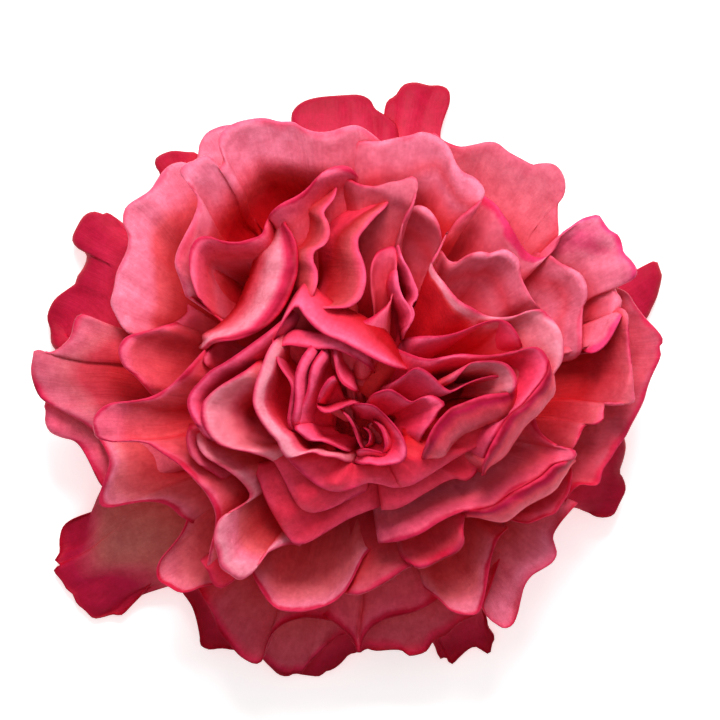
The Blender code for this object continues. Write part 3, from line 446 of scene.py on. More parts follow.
# Middle petals: cups, folds, tongues and panels.
MIDDLE_PETALS = [
    petal("top_cup", 0.72, 1, "cup",
        (-28.8, 15.1), (-29.7, 18.0), (-30.6, 20.5), (-30.4, 22.7), (-29.2, 25.4), (-27.7, 28.3),
        (-26.8, 30.6), (-26.6, 32.4), (-27.4, 34.2), (-29.0, 36.2), (-29.9, 37.6), (-29.0, 38.7),
        (-27.2, 39.4), (-25.7, 40.3), (-24.1, 39.8), (-22.9, 38.3), (-22.0, 39.6), (-22.7, 41.6),
        (-22.9, 43.4), (-22.0, 44.8), (-20.0, 46.1), (-17.3, 46.8), (-14.6, 47.0), (-11.9, 46.4),
        (-9.5, 46.3), (-7.6, 45.2), (-5.4, 44.5), (-2.9, 44.6), (-0.2, 45.4), (1.8, 45.7), (3.8, 44.8),
        (6.1, 43.0), bowl=3.5, ledge=(7.0, 10.5, 11.0)),
    petal("top_fold", 0.74, 1, "plain",
        (-1.1, 41.0), (2.5, 42.8), (5.8, 42.8), (8.8, 43.4), (11.5, 43.9), (13.5, 44.5), (15.5, 44.1),
        (17.3, 43.0), (18.7, 41.4), (19.6, 39.2), (20.9, 37.4), (22.9, 36.4), (24.3, 35.1), (24.8, 33.8),
        (24.1, 32.4), (22.3, 30.8), (20.3, 29.2), (18.9, 27.2), (17.8, 25.6), bowl=2.5,
        ledge=(7.0, 6.0, 11.0), tints=(0.6, 0.8, 2.2, 4.0)),
    petal("top_right_wave", 0.82, -2, "hot",
        (23.8, 34.2), (25.2, 32.9), (27.0, 31.5), (28.6, 29.2), (30.1, 26.8), (31.3, 24.7), (32.6, 23.0),
        (34.2, 22.1), (36.0, 22.3), (37.4, 23.4), (38.3, 24.8), (39.1, 26.5), (40.7, 27.7), (42.5, 29.0),
        (44.1, 29.5), (45.5, 29.7), (46.4, 28.4), (47.5, 27.0), (49.0, 26.1), (49.7, 24.5), (50.0, 23.0),
        (51.5, 21.4), (52.4, 19.8), (52.0, 18.4), (50.6, 18.0), (49.0, 18.2), (47.7, 18.7),
        tints=(1.0, 1.0, 0.6, 0.6, 1.0), bowl=2.5),
    petal("right_panel", 0.78, -3, "plain",
        (34.2, 23.0), (36.7, 22.5), (38.5, 21.1), (40.9, 20.0), (42.5, 18.9), (43.4, 16.9), (43.4, 14.8),
        (42.7, 13.0), (42.5, 10.4), (42.5, 7.2), (42.3, 5.0), (40.9, 3.6)),
    petal("right_fold", 0.84, -4, "plain",
        (46.6, 18.7), (48.1, 18.7), (48.6, 16.2), (49.7, 14.4), (49.3, 12.6), (48.6, 10.4), (47.7, 8.5),
        (46.6, 6.7), (45.2, 5.4), (43.6, 5.0), (42.1, 5.6)),
    petal("right_fold_lip", 0.8, -1, "hot",
        (42.6, 5.2), (44.2, 4.9), (45.6, 5.5), (46.9, 6.7), (48.0, 8.4), (49.0, 10.4), (49.8, 12.2),
        fall=(-1.4, 1.6, -2.5)),
    petal("right_cup", 0.76, -3, "hollow",
        (49.0, 13.3), (50.6, 12.1), (50.9, 9.4), (51.1, 5.8), (51.5, 1.8), (51.7, -1.4), (51.8, -4.0),
        (49.3, -4.1), (47.0, -4.1), (46.4, -5.4), (46.3, -7.0), (45.2, -7.9), (43.6, -7.9), (42.5, -9.0),
        (41.9, -10.4), (41.0, -12.1), (39.6, -13.7), bowl=10.0, tints=(1.0, 1.2, 1.3, 1.0, 0.6)),
    petal("low_bowl", 0.74, -3, "mauve",
        (-17.3, -32.4), (-16.9, -34.6), (-15.8, -36.9), (-14.4, -39.2), (-12.6, -41.0), (-10.4, -41.6),
        (-7.7, -41.6), (-5.0, -41.0), (-2.5, -40.0), (-0.4, -38.2), (0.9, -36.2), (2.0, -34.0),
        (3.2, -31.7), (5.0, -29.9)),
    petal("low_right_fan", 0.78, -4, "mauve",
        (14.0, -37.4), (16.9, -39.6), (18.7, -41.4), (20.5, -42.1), (22.5, -42.3), (23.9, -41.8),
        (24.7, -39.6), (25.4, -36.0), (25.9, -32.8), (26.5, -30.6), (27.4, -28.4), (29.2, -26.6)),
    petal("right_shelf", 0.74, -2, "pink",
        (18.4, -24.1), (20.9, -23.8), (24.1, -23.6), (26.8, -24.1), (29.3, -25.0), (31.3, -25.6),
        (32.8, -25.7), (34.4, -25.2), (36.0, -24.5), (37.6, -23.9), (38.9, -22.1), (40.0, -20.3),
        (40.5, -18.4), (40.7, -16.2), (40.3, -14.8)),
    petal("left_panel", 0.76, -2, "panel",
        (-30.6, 10.4), (-35.3, 9.0), (-39.2, 7.9), (-40.7, 6.3), (-40.9, 4.7), (-40.0, 2.5), (-38.2, 0.9),
        (-36.5, -0.9), (-34.9, -2.9)),
    petal("low_left_strip", 0.78, -3, "wine",
        (-26.3, -32.4), (-24.8, -34.4), (-24.3, -36.0), (-23.0, -37.4), (-21.4, -36.9), (-19.8, -35.6),
        (-18.0, -34.2)),
    petal("low_mid_lobe", 0.64, -1, "dusk",
        (20.2, -21.5), (21.2, -24.1), (21.0, -27.1), (21.2, -29.2), (19.9, -30.9), (17.4, -32.1),
        (14.9, -33.4), (13.2, -33.8), (11.4, -33.0), (9.2, -31.4)),
    petal("low_mid_under", 0.68, -2, "dusk",
        (-0.4, -38.4), (2.0, -38.6), (4.4, -37.8), (7.3, -36.3), (9.8, -34.6), (11.5, -33.6), (13.6, -33.0),
        (15.8, -31.4), tints=(2.0, 2.5, 2.0)),
    petal("left_tongue", 0.62, 0, "panel",
        (-24.1, 6.7), (-25.6, 5.2), (-27.4, 3.2), (-29.9, 0.5), (-32.4, -1.6), (-35.3, -3.1), (-38.9, -3.8),
        (-42.5, -4.3), (-44.5, -5.6), (-45.4, -7.2), (-45.2, -9.2), (-44.6, -10.4), (-42.1, -11.0),
        (-38.9, -10.8), (-35.8, -11.3), (-33.5, -12.8), (-31.1, -14.4), (-29.2, -15.8), (-27.4, -17.6),
        (-25.6, -19.6), (-24.3, -21.6), (-23.4, -24.1), (-23.6, -27.0), (-24.3, -29.9), (-25.0, -33.5),
        bowl=4.0, tints=(1.4, 1.0, 1.0, 1.0, 3.5)),
    petal("right_tongue", 0.58, 0, "pink", *RIGHT_TONGUE),
    petal("left_hood", 0.6, 3, "pink",
        (-22.3, 10.4), (-24.8, 13.0), (-26.6, 15.1), (-27.5, 17.6), (-28.1, 20.5), (-27.9, 23.4),
        (-26.6, 25.4), (-24.5, 25.7), (-22.3, 25.0), (-19.8, 24.7), (-17.3, 25.2), (-15.1, 26.1),
        (-14.4, 28.1), (-13.5, 29.9), ledge=(1.0, 10.0, 11.0)),
    petal("left_leaf", 0.55, 6, "leaf",
        (-11.5, 30.0), (-10.8, 27.9), (-9.7, 26.3), (-8.8, 24.3), (-8.5, 22.0), (-8.6, 19.4), (-9.2, 17.1),
        (-10.1, 14.8), (-11.3, 12.6), (-13.0, 10.6), (-15.1, 9.0), (-17.3, 7.9), (-19.6, 7.2), (-21.8, 7.0),
        (-23.8, 6.5), (-25.2, 5.4), fall=(-8.0, 1.0, -11.0), dive=(2.5, 7.5)),
    petal("left_small", 0.62, 1, "pink",
        (-28.8, 15.5), (-27.0, 14.2), (-25.0, 12.8), (-23.4, 11.5), (-22.1, 9.9), (-22.3, 8.3),
        (-23.4, 6.8), (-24.8, 5.0), (-25.7, 3.6), (-24.5, 2.3), (-22.9, 2.5)),
    petal("top_band", 0.58, 5.5, "pink",
        (-13.9, 29.2), (-13.3, 30.1), (-11.5, 31.5), (-9.0, 32.8), (-7.0, 34.2), (-5.4, 36.0), (-3.8, 37.4),
        (-1.4, 38.3), (0.7, 38.0), (2.0, 36.5), (1.1, 35.3)),
    petal("top_saddle", 0.55, 4, "dusty",
        (-1.8, 34.9), (0.2, 36.0), (2.2, 35.1), (4.0, 34.7), (5.8, 34.7), (7.6, 35.3), (9.4, 35.6),
        (11.2, 36.2), (12.2, 36.4), (12.8, 35.1), (12.4, 33.3), (11.7, 31.3), (10.6, 29.5), (10.1, 27.5),
        (9.9, 25.2), (10.1, 23.0), bowl=2.5),
    petal("top_wall", 0.62, 1, "plain",
        (9.7, 28.1), (11.2, 30.4), (12.8, 31.3), (14.8, 30.6), (16.4, 28.4), (17.1, 25.6), (16.7, 23.0)),
    petal("right_brow", 0.62, 2, "plain",
        (17.1, 23.4), (18.4, 21.4), (19.8, 21.2), (21.1, 22.0), (22.5, 22.7), (24.3, 23.0), (25.7, 22.7),
        (27.2, 23.2), (28.6, 23.4), (30.1, 22.5), (31.1, 21.2), (31.3, 18.9), (32.2, 16.6), (33.3, 14.6),
        (34.9, 12.8)),
    petal("right_ridge", 0.48, 4, "ridge",
        (18.2, 26.6), (17.3, 24.8), (16.4, 23.0), (15.3, 21.2), (16.0, 19.3), (17.6, 17.3), (19.1, 15.4),
        (20.5, 14.0), (22.7, 12.8), (25.2, 11.5), (27.7, 11.2), (30.4, 11.5), (32.8, 12.4), (34.9, 12.6),
        (36.4, 11.3), (37.8, 9.7), (38.7, 7.7), (38.9, 5.4), (38.5, 3.2), (36.9, 0.9), (35.1, -1.8),
        (33.3, -4.0), bowl=2.5, tints=(30.0, 20.0, 3.0, 1.0, 1.0, 1.0)),
    petal("low_left_thin", 0.56, 0, "pink",
        (-28.1, -7.9), (-28.6, -10.4), (-28.1, -13.0), (-26.3, -15.1), (-23.9, -16.6), (-21.6, -18.4)),
    petal("low_left_curl", 0.52, 0, "curl",
        (-27.0, -8.6), (-26.8, -11.0), (-25.7, -13.1), (-23.8, -14.6), (-21.4, -16.0), (-19.3, -17.6),
        (-17.8, -19.4), (-17.3, -20.9), (-18.4, -22.3), (-20.5, -23.6), (-22.5, -24.8), (-23.4, -26.6),
        (-23.6, -29.0), (-23.0, -31.3), (-22.5, -33.5), (-20.9, -34.7), (-19.1, -35.8), (-17.3, -34.9),
        (-16.0, -33.3), (-14.8, -31.5), (-12.6, -30.2), (-10.1, -29.5), (-8.3, -29.9),
        tints=(1.0, 1.0, 1.0, 1.2, 1.0)),
]

# Inner petals: the crests, the lips, the skirt and the wall round the heart.
INNER_PETALS = [
    petal("left_sail", 0.42, 3, "heart",
        (-8.8, 13.3), (-10.1, 11.9), (-11.9, 10.3), (-14.0, 8.6), (-16.6, 6.7), (-19.1, 4.9), (-21.6, 3.2),
        (-24.1, 1.8), (-26.1, -0.2), (-27.7, -2.0), (-28.4, -4.0), (-27.9, -6.1), (-26.8, -7.9),
        (-25.2, -10.1), (-23.8, -11.5), bowl=2.0, ledge=(1.6, 5.0, 3.0), dive=(5.3, 8.0)),
    petal("left_bowl_in", 0.4, 3, "bright",
        (-15.1, 4.0), (-17.6, 2.0), (-20.0, 0.5), (-22.3, -0.9), (-24.3, -2.5), (-25.6, -4.1),
        (-25.9, -6.1), (-25.4, -8.3), (-24.3, -10.1), (-22.7, -11.5), (-20.0, -12.4), (-16.9, -13.0),
        (-14.6, -13.7), (-12.6, -14.8), bowl=2.5, ledge=(4.0, 4.0, 5.0), tints=(8.0, 3.0, 1.2, 1.0, 1.0)),
    petal("low_skirt", 0.4, -5, "wine",
        (-17.3, -15.1), (-15.8, -17.6), (-14.9, -20.2), (-13.9, -22.5), (-12.6, -24.8), (-11.0, -27.4),
        (-9.5, -29.2), (-7.4, -29.3), (-5.0, -28.1), (-2.5, -26.6), (0.2, -25.0), (2.9, -23.8),
        (5.8, -22.7), (8.0, -21.6), roof=2.0),
    petal("low_skirt_in", 0.32, -3, "wine",
        (-15.1, -12.5), (-13.1, -14.3), (-11.7, -16.6), (-10.6, -18.9), (-9.5, -21.0), (-8.1, -22.9),
        (-6.0, -23.7), (-3.6, -23.2), (-1.2, -22.2), (1.2, -21.0), (4.0, -19.8), roof=1.5),
    petal("low_skirt_top", 0.25, -1.2, "wine",
        (-11.5, -13.0), (-9.4, -15.2), (-7.0, -17.4), (-4.4, -19.2), (-1.6, -19.9), (1.2, -19.4),
        (3.8, -18.3), (6.4, -18.6), (9.0, -19.2), (11.4, -18.0), roof=1.0),
    petal("crest_a", 0.4, 3, "crest",
        (-1.4, 35.6), (-2.2, 32.4), (-4.0, 29.9), (-3.2, 28.1), (-2.9, 25.9), (-3.8, 24.1), (-5.6, 23.0),
        (-5.8, 21.2), (-5.0, 19.3), (-5.2, 16.9), (-6.1, 14.8), (-7.7, 13.1), fall=(-4.8, 0.6, -9.0)),
    petal("crest_b", 0.36, 4, "crest",
        (8.1, 32.8), (7.2, 31.0), (5.4, 29.2), (3.8, 27.4), (2.3, 25.4), (2.3, 23.4), (3.1, 21.2),
        (3.6, 18.9), (3.4, 16.6), (2.5, 14.4), (0.7, 13.1), (-1.4, 12.8), (-3.8, 12.8), (-6.1, 11.9),
        fall=(-8.4, 0.8, -13.0), tints=(6.0, 2.5, 1.0, 1.0, 1.0)),
    petal("crest_roll", 0.33, 3, "pink",
        (4.5, 17.3), (4.5, 20.5), (5.4, 22.7), (7.0, 23.6), (8.6, 23.8), (9.2, 22.0), (9.0, 19.4),
        (8.6, 16.6), (7.7, 14.0), (6.1, 12.4), (4.5, 11.2), (2.5, 10.4), (0.2, 10.6), (-2.2, 11.3),
        bowl=1.0, depth=5.0),
    petal("crest_c", 0.34, 4, "heart",
        (9.4, 24.1), (10.1, 21.6), (11.2, 19.8), (12.1, 17.6), (12.8, 15.8), (12.6, 14.4), (11.7, 13.5),
        (12.2, 11.9), (11.7, 10.3), (10.6, 8.8), (10.1, 7.4), fall=(-3.0, -1.0, -9.0)),
    petal("crest_d", 0.3, 4, "heart",
        (9.0, 20.2), (9.4, 17.1), (10.1, 14.9), (11.2, 13.3), (11.9, 11.5), (11.3, 9.7), (10.3, 8.3),
        fall=(-3.0, -1.0, -8.0)),
    petal("right_lip_a", 0.36, 3, "heart",
        (10.1, 7.4), (11.9, 7.7), (14.0, 7.9), (16.6, 7.9), (19.1, 8.3), (21.2, 9.0), (23.4, 9.9),
        (25.6, 10.6), (27.7, 10.8), (29.2, 10.1), (30.4, 8.6), (31.3, 6.8), (31.9, 5.0)),
    petal("right_lip_b", 0.32, 3, "heart", *RIGHT_LIP, tints=(1.0, 1.0, 0.7, 1.0, 1.0), bowl=3.0),
    petal("right_lip_c", 0.26, 5, "bright",
        (19.1, -0.4), (20.7, 1.6), (22.3, 3.1), (24.5, 3.4), (26.8, 3.4), (28.6, 2.9), (29.9, 1.6),
        (30.4, 0.0), (30.1, -1.6), (28.6, -2.9), bowl=1.5),
    petal("heart_long", 0.22, 5, "blush",
        (-13.3, 6.1), (-11.9, 9.0), (-10.3, 11.5), (-8.8, 13.1), (-7.4, 11.4), (-5.6, 9.4), (-3.6, 8.0),
        (-1.2, 7.0), (1.6, 5.6), (4.3, 4.1), (6.8, 2.9), (9.2, 2.1), (11.2, 1.8), fall=(2.5, 5.2, -5.0),
        tints=(1.0, 1.0, 3.0, 8.0)),
    petal("heart_wave", 0.22, 4.5, "heart",
        (6.6, -1.0), (8.2, -0.4), (10.2, 0.8), (11.7, 1.9), (12.9, 2.3), (14.5, 1.5), (15.9, 0.3),
        (17.2, -1.1), (18.8, -1.9), (20.2, -1.4), (21.9, -0.5), (23.9, 0.3), (26.0, 0.8), (27.7, 0.7),
        (29.5, -0.2)),
    petal("heart_left_pale", 0.22, 4, "pale",
        (-11.0, 8.4), (-12.6, 7.2), (-13.6, 5.9), (-14.4, 4.2), (-15.1, 2.2), (-16.1, -0.4), (-16.6, -3.2),
        (-16.3, -5.2), (-15.1, -7.5), (-13.6, -9.5), (-12.2, -11.0), (-11.7, -12.5), (-10.6, -13.8),
        (-9.0, -13.7), (-7.2, -13.1), (-5.6, -12.9), (-4.2, -13.5), (-1.8, -13.8), (0.0, -14.6),
        (1.6, -14.8), bowl=1.0, ledge=(1.8, 5.0, 3.0)),
    petal("heart_lip", 0.2, 3.0, "heart",
        (-12.8, 4.2), (-12.0, 5.6), (-10.4, 6.2), (-8.0, 5.9), (-5.2, 5.5), (-2.8, 5.6), (-0.8, 5.1),
        (1.4, 3.9), (3.7, 2.6), (5.0, 1.2), fall=(0.6, 2.6, -1.4)),
    petal("heart_right_a", 0.24, 4.5, "lip",
        (30.4, -0.7), (29.7, -2.0), (27.7, -2.3), (25.4, -2.5), (23.2, -3.1), (20.9, -4.0), (18.7, -4.9),
        (17.1, -6.3), (15.8, -7.9), (14.8, -9.7), (14.0, -11.9), (13.4, -14.0), fall=(2.2, -4.4, -4.0)),
    petal("heart_right_c", 0.3, -1, "wine",
        (28.6, -4.6), (27.0, -6.2), (25.8, -7.6), (25.3, -9.5), (24.6, -11.2), (22.5, -12.4), (20.1, -13.6),
        (17.6, -15.2), (14.6, -17.1), (12.0, -18.6), (9.6, -19.2), roof=1.0),
    petal("heart_right_d", 0.34, -4, "wine",
        (25.6, -9.8), (24.8, -12.2), (24.2, -14.6), (23.2, -16.7), (21.6, -18.0), (19.8, -17.6),
        (17.6, -18.2), (15.5, -19.4), (13.3, -20.7), (11.2, -22.0), (9.0, -23.0), (6.4, -23.2), roof=2.0),
    petal("right_lip_side", 0.34, 3, "lip", *RIGHT_LIP[12:], (24.3, -17.0), fall=(3.0, -1.2, -5.0)),
    petal("tongue_lip", 0.58, 0.4, "lip", (41.0, -13.5), *RIGHT_TONGUE[10:18], fall=(1.6, -3.2, -4.0)),
]

# The small petals in the heart.
HEART_PETALS = [
    petal("heart_a", 0.18, 3.4, "heart",
        (-13.2, 7.6), (-12.8, 5.2), (-12.2, 3.2), (-11.3, 1.6), (-10.3, 0.2), (-9.7, -1.4), (-9.9, -3.2),
        (-10.2, -5.4), (-10.4, -7.4), (-9.7, -9.2), ledge=(0.4, 4.0, 3.5), dive=(2.5, 2.5)),
    petal("heart_b", 0.16, 3.8, "heart",
        (-5.6, 7.0), (-6.8, 5.6), (-8.0, 3.9), (-8.9, 1.7), (-9.2, -0.6), (-9.1, -3.0), (-9.3, -5.2),
        (-9.7, -7.2), (-9.3, -8.9), bowl=0.8, ledge=(1.5, 4.5, 1.6), dive=(4.0, 4.0)),
    petal("heart_b_in", 0.14, 2.8, "heart",
        (-3.6, 6.6), (-4.6, 5.0), (-5.8, 3.4), (-6.6, 1.2), (-6.8, -1.0), (-7.3, -2.9), (-8.1, -4.7),
        (-8.7, -6.4), (-8.6, -8.0), (-7.8, -9.4), bowl=1.2, ledge=(1.2, 4.0, 2.4), dive=(4.0, 4.0)),
    petal("heart_low", 0.14, 3, "heart",
        (-9.0, -7.2), (-9.2, -8.6), (-8.2, -9.6), (-6.6, -10.8), (-4.5, -10.9), (-2.6, -11.5),
        (-0.4, -12.5), (1.2, -13.0), bowl=1.0, ledge=(1.0, 4.0, 1.8)),
    petal("heart_c", 0.12, 4, "heart",
        (-1.9, 0.9), (-2.9, 0.5), (-3.7, -0.4), (-4.5, -1.8), (-5.0, -3.2), (-5.2, -4.3), depth=10.0,
        ledge=(0.5, 4.0, 1.8)),
    petal("heart_loop", 0.12, 4, "heart",
        (-5.2, -4.1), (-5.0, -5.0), (-4.3, -5.6), (-3.2, -5.8), (-1.1, -5.1), (0.8, -4.3), (2.4, -4.1),
        fall=(0.4, 1.0, -8.0)),
    petal("heart_arc", 0.12, 4.5, "heart",
        (0.6, -4.3), (2.9, -4.1), (5.0, -4.5), (6.4, -5.6), (7.9, -7.1), (9.5, -9.0), (10.5, -10.9),
        (10.9, -12.4), (10.6, -14.0), (9.4, -14.9), (7.4, -15.1), (5.7, -15.2), (4.3, -14.9), (2.8, -15.0),
        (1.2, -14.6)),
    petal("heart_fold", 0.12, 2, "heart",
        (-2.8, 6.4), (-2.3, 4.4), (-1.9, 2.6), (-1.6, 0.9), (-0.7, -0.6), (0.5, -1.5), (2.2, -2.2),
        fall=(1.2, 2.4, -5.0), dive=(4.0, 4.0)),
    petal("heart_d", 0.16, 4, "heart",
        (3.6, -4.0), (4.7, -2.5), (6.4, -1.8), (7.9, -1.6), (9.3, -2.3), (11.0, -3.5), (12.1, -3.8),
        (13.6, -3.0), (15.0, -2.6), (16.4, -3.1), (17.7, -4.2), (16.7, -5.4), (15.9, -6.8), (14.5, -8.5),
        (13.4, -10.4), (12.6, -12.4)),
    petal("heart_e", 0.06, 3, "heart",
        (-1.0, -5.2), (0.2, -6.5), (1.1, -8.0), (1.8, -9.8), (2.5, -11.5), (3.6, -12.9),
        fall=(1.0, 0.2, -8.0)),
    petal("heart_f", 0.05, 2.5, "heart",
        (4.7, -6.9), (6.1, -8.4), (6.8, -10.2), (6.9, -12.0), (6.2, -13.4), fall=(1.6, 0.2, -6.0)),
    petal("heart_g", 0.04, 1.5, "heart",
        (1.8, -12.6), (3.4, -12.1), (5.0, -12.4), (6.4, -12.8), (7.8, -13.2), fall=(0.0, -1.6, -4.0)),
    petal("heart_h", 0.03, 1, "heart",
        (2.8, -8.2), (3.9, -8.9), (4.3, -10.1), (4.0, -11.3), (3.2, -12.0), fall=(0.8, 0.0, -6.0)),
]

def smooth_curve(points):
    """Points on a Catmull-Rom curve through the given points."""
    last = len(points) - 1
    made = []
    for index in range(last):
        before = points[max(index - 1, 0)]
        start, end = points[index], points[index + 1]
        after = points[min(index + 2, last)]
        for step in range(CURVE_STEPS):
            t = step / CURVE_STEPS
            made.append(0.5 * (2 * start + (end - before) * t
                               + (2 * before - 5 * start + 4 * end - after) * t ** 2
                               + (3 * start - before - 3 * end + after) * t ** 3))
    made.append(points[last])
    return made


def evenly_spaced(curve, pieces):
    """The curve walked in equal strides: pieces + 1 points."""
    lengths = [0.0]
    for here, there in zip(curve, curve[1:]):
        lengths.append(lengths[-1] + (there - here).length)
    made = []
    index = 0
    for stride in range(pieces + 1):
        goal = lengths[-1] * stride / pieces
        while index < len(curve) - 2 and lengths[index + 1] < goal:
            index += 1
        span = lengths[index + 1] - lengths[index]
        share = (goal - lengths[index]) / span if span > 0 else 0.0
        made.append(curve[index].lerp(curve[index + 1], clamp(share)))
    return made


def rim_line(shape):
    """The petal's rim in space, at its height on the dome."""
    curve = smooth_curve([Vector(point) for point in shape["rim"]])
    length = sum((b - a).length for a, b in zip(curve, curve[1:]))
    flat = evenly_spaced(curve, max(round(length / RIM_STEP), FEWEST_COLUMNS))
    reach = sum(point.length for point in flat) / len(flat)
    height = DOME_TOP - DOME_DROP * shape["layer"] ** 2 + shape["lift"]
    usual = ROOF_DIVE if shape["roof"] else step_value(END_DIVES, shape["layer"])
    first_dive, last_dive = shape["dive"] or (usual, usual)
    last = len(flat) - 1
    rim = []
    for index, point in enumerate(flat):
        from_end = min(min(index, last - index) / last / END_SHARE, 1.0)
        dive = last_dive if index > last // 2 else first_dive
        z = height - RIM_SLOPE * (point.length - reach) - dive * (1.0 - from_end) ** 2
        rim.append(Vector((point.x, point.y, max(z, LOWEST_RIM))))
    return rim


def root_point(shape, rim_point):
    """Where the petal's foot stands below a point of its rim."""
    layer = shape["layer"]
    root = AXIS_HEAD.lerp(AXIS_FOOT, min(layer + ROOT_SINK, 1.0))
    if layer >= INNER_LAYER:
        return root
    growth = INNER_GROWTH * layer
    span = (root.xy - rim_point.xy).length
    foot = rim_point.lerp(root, min((INNER_REACH + growth) / max(span, 1.0), LONGEST_INNER))
    depth = INNER_DEPTH + growth if shape["depth"] is None else shape["depth"]
    foot.z = rim_point.z - depth
    return foot


def flat_span(shape, rim_point):
    """How far a rim point is from its root, seen from above."""
    return (rim_point.xy - root_point(shape, rim_point).xy).length


def pleat_places(shape, rim):
    """Where each column lies across the petal, in millimetres, for folds that run to the root."""
    if shape["fall"] or shape["roof"]:
        return [column * RIM_STEP for column in range(len(rim))]
    arms = [(point - root_point(shape, point)).xy for point in rim]
    middle = arms[len(arms) // 2]
    reach = sum(arm.length for arm in arms) / len(arms)
    return [reach * middle.angle_signed(arm, 0.0) for arm in arms]


def smooth_spans(shape, rim, places):
    """How far each rim point is from its root, without the rim's small waves and notches."""
    spans = [flat_span(shape, point) for point in rim]
    made = []
    for here in places:
        weights = [clamp(1.0 - abs(there - here) / SPAN_REACH) for there in places]
        total = sum(weight * span for weight, span in zip(weights, spans))
        made.append(total / sum(weights))
    return made


def straight_run(shape, root, rim_point, smooth_span):
    """Points from the rim down to the root of a petal that opens away from the heart."""
    span = max((rim_point.xy - root.xy).length, 1.0)
    arch = ARCH_RISE * max(shape["layer"] - ARCH_LAYER, 0.0)
    shares = [1.0 - edge / span for edge in EDGE_ROWS if edge < EDGE_SHARE * span]
    last = shares[-1]
    shares += [last * (1.0 - row) + FOOT_SHARE * row for row in ROOT_ROWS]
    height = rim_point.z - root.z
    depth = min(shape["bowl"], max(DEEPEST_BOWL * height, 0.0))
    reach = step_value(BOWL_REACHES, shape["layer"])
    level, fall, width = shape["ledge"] or (0.0, 0.0, 1.0)
    deepest = depth * (1.0 - math.exp(-span / reach)) + fall
    run = []
    for share in shares:
        point = root.lerp(rim_point, share)
        away = max(smooth_span - share * span, 0.0)
        inwards = away / max(smooth_span, span)
        drop = depth * (1.0 - math.exp(-away / reach)) + (height - deepest) * inwards ** BOWL_POWER
        drop += fall * smooth_share((away - level) / width)
        point.z = rim_point.z - drop + arch * math.sin(math.pi * share)
        run.append(point)
    return run


def roof_run(shape, rim_point):
    """Points from the rim up towards the heart, for petals that lie over each other like tiles."""
    way = AXIS_HEAD.xy - rim_point.xy
    reach = max(way.length - ROOF_STOP, ROOF_SHORTEST)
    inwards = way.normalized()
    run = []
    for row in range(ROW_COUNT):
        share = (row / (ROW_COUNT - 1)) ** ROOF_POWER
        rise = shape["roof"] * math.sin(ROOF_ARCH * share)
        step = inwards * (reach * share)
        run.append(rim_point + Vector((step.x, step.y, rise)))
    return run


def falling_run(shape, root, rim_point, from_end):
    """Points from the rim down into the valley beside it, and on to the root."""
    fall = Vector(shape["fall"])
    fall.xy *= FALL_LEAST + (1.0 - FALL_LEAST) * smooth_share(from_end / FALL_TAPER)
    run = []
    for edge in EDGE_ROWS:
        share = edge / EDGE_ROWS[-1]
        run.append(rim_point + Vector((fall.x * share, fall.y * share, fall.z * share ** FALL_POWER)))
    valley = run[-1]
    return run + [valley.lerp(root, row * FALL_FOOT) for row in ROOT_ROWS]


def petal_run(shape, rim, column, smooth_span):
    """One column of the petal, from a point of its rim to its root."""
    rim_point = rim[column]
    root = root_point(shape, rim_point)
    if shape["fall"]:
        from_end = min(column, len(rim) - 1 - column) / (len(rim) - 1)
        run = falling_run(shape, root, rim_point, from_end)
    elif shape["roof"]:
        run = roof_run(shape, rim_point)
    else:
        run = straight_run(shape, root, rim_point, smooth_span)
    return run if len(run) == ROW_COUNT else evenly_spaced(run, ROW_COUNT - 1)


def rim_turn(shape, rim_point):
    """How far the edge curls down: outer petals on the low side turn theirs up instead."""
    if shape["layer"] < SHARP_LAYER:
        return SHARP_ROLL
    if shape["layer"] < CUPPED_LAYER:
        return ROLL
    return ROLL * min(max((rim_point.y - CUPPED_SIDE) / CUPPED_FADE, CUPPED_ROLL), 1.0)


def widen(point, across, side, share, edge):
    """Spreads a guard petal under its neighbours, between its rim and its root."""
    grown = smooth_share((edge - FLARE_START) / FLARE_REACH)
    point.xy += across.xy * (FLARE * side * grown * (1.0 - share ** 3))


def bend(shape, point, place, seed, turn, edge):
    """Gives a point its warp, its turned edge, its waves, its pleats and its crumples."""
    point += noise.noise_vector(point * WARP_SCALE) * (WARP * min(edge / WARP_REACH, 1.0))
    point.z -= turn * clamp(1.0 - edge / ROLL_REACH) ** 2
    spot = Vector((point.x, point.y, shape["layer"] * FLUTTER_LAYERS))
    point.z += FLUTTER * noise.noise(spot * FLUTTER_SCALE) * clamp(1.0 - edge / FLUTTER_REACH)
    folds = ROOF_PLEAT if shape["roof"] else PLEAT
    folds *= clamp(edge / PLEAT_START) * clamp(1.0 - edge / PLEAT_REACH)
    point.z += folds * noise.noise(Vector((place * PLEAT_SCALE, edge * PLEAT_RUN, seed)))
    point.z += CRUMPLE * noise.noise(point * CRUMPLE_SCALE) * clamp(1.0 - edge / CRUMPLE_REACH)


def keep_inside(point):
    """Holds a point inside the solids' box."""
    for axis in range(3):
        point[axis] = min(max(point[axis], BOX_LOW[axis]), BOX_HIGH[axis])


def petal_grid(shape, rim, places, spans):
    """Columns of points, one for each step along the rim, from the rim to the root."""
    runs = [petal_run(shape, rim, column, spans[column]) for column in range(len(rim))]
    across = (rim[-1] - rim[0]).normalized()
    seed = PLEAT_LAYERS * shape["layer"] + PLEAT_SHIFT * rim[0].x
    for column, run in enumerate(runs):
        turn = rim_turn(shape, rim[column])
        side = 2.0 * column / (len(rim) - 1) - 1.0
        edge = 0.0
        for row, point in enumerate(run):
            if row:
                edge += (point - run[row - 1]).length
            if shape["layer"] >= GUARD_LAYER:
                widen(point, across, side, row / (ROW_COUNT - 1), edge)
            bend(shape, point, places[column], seed, turn, edge)
            keep_inside(point)
    return runs


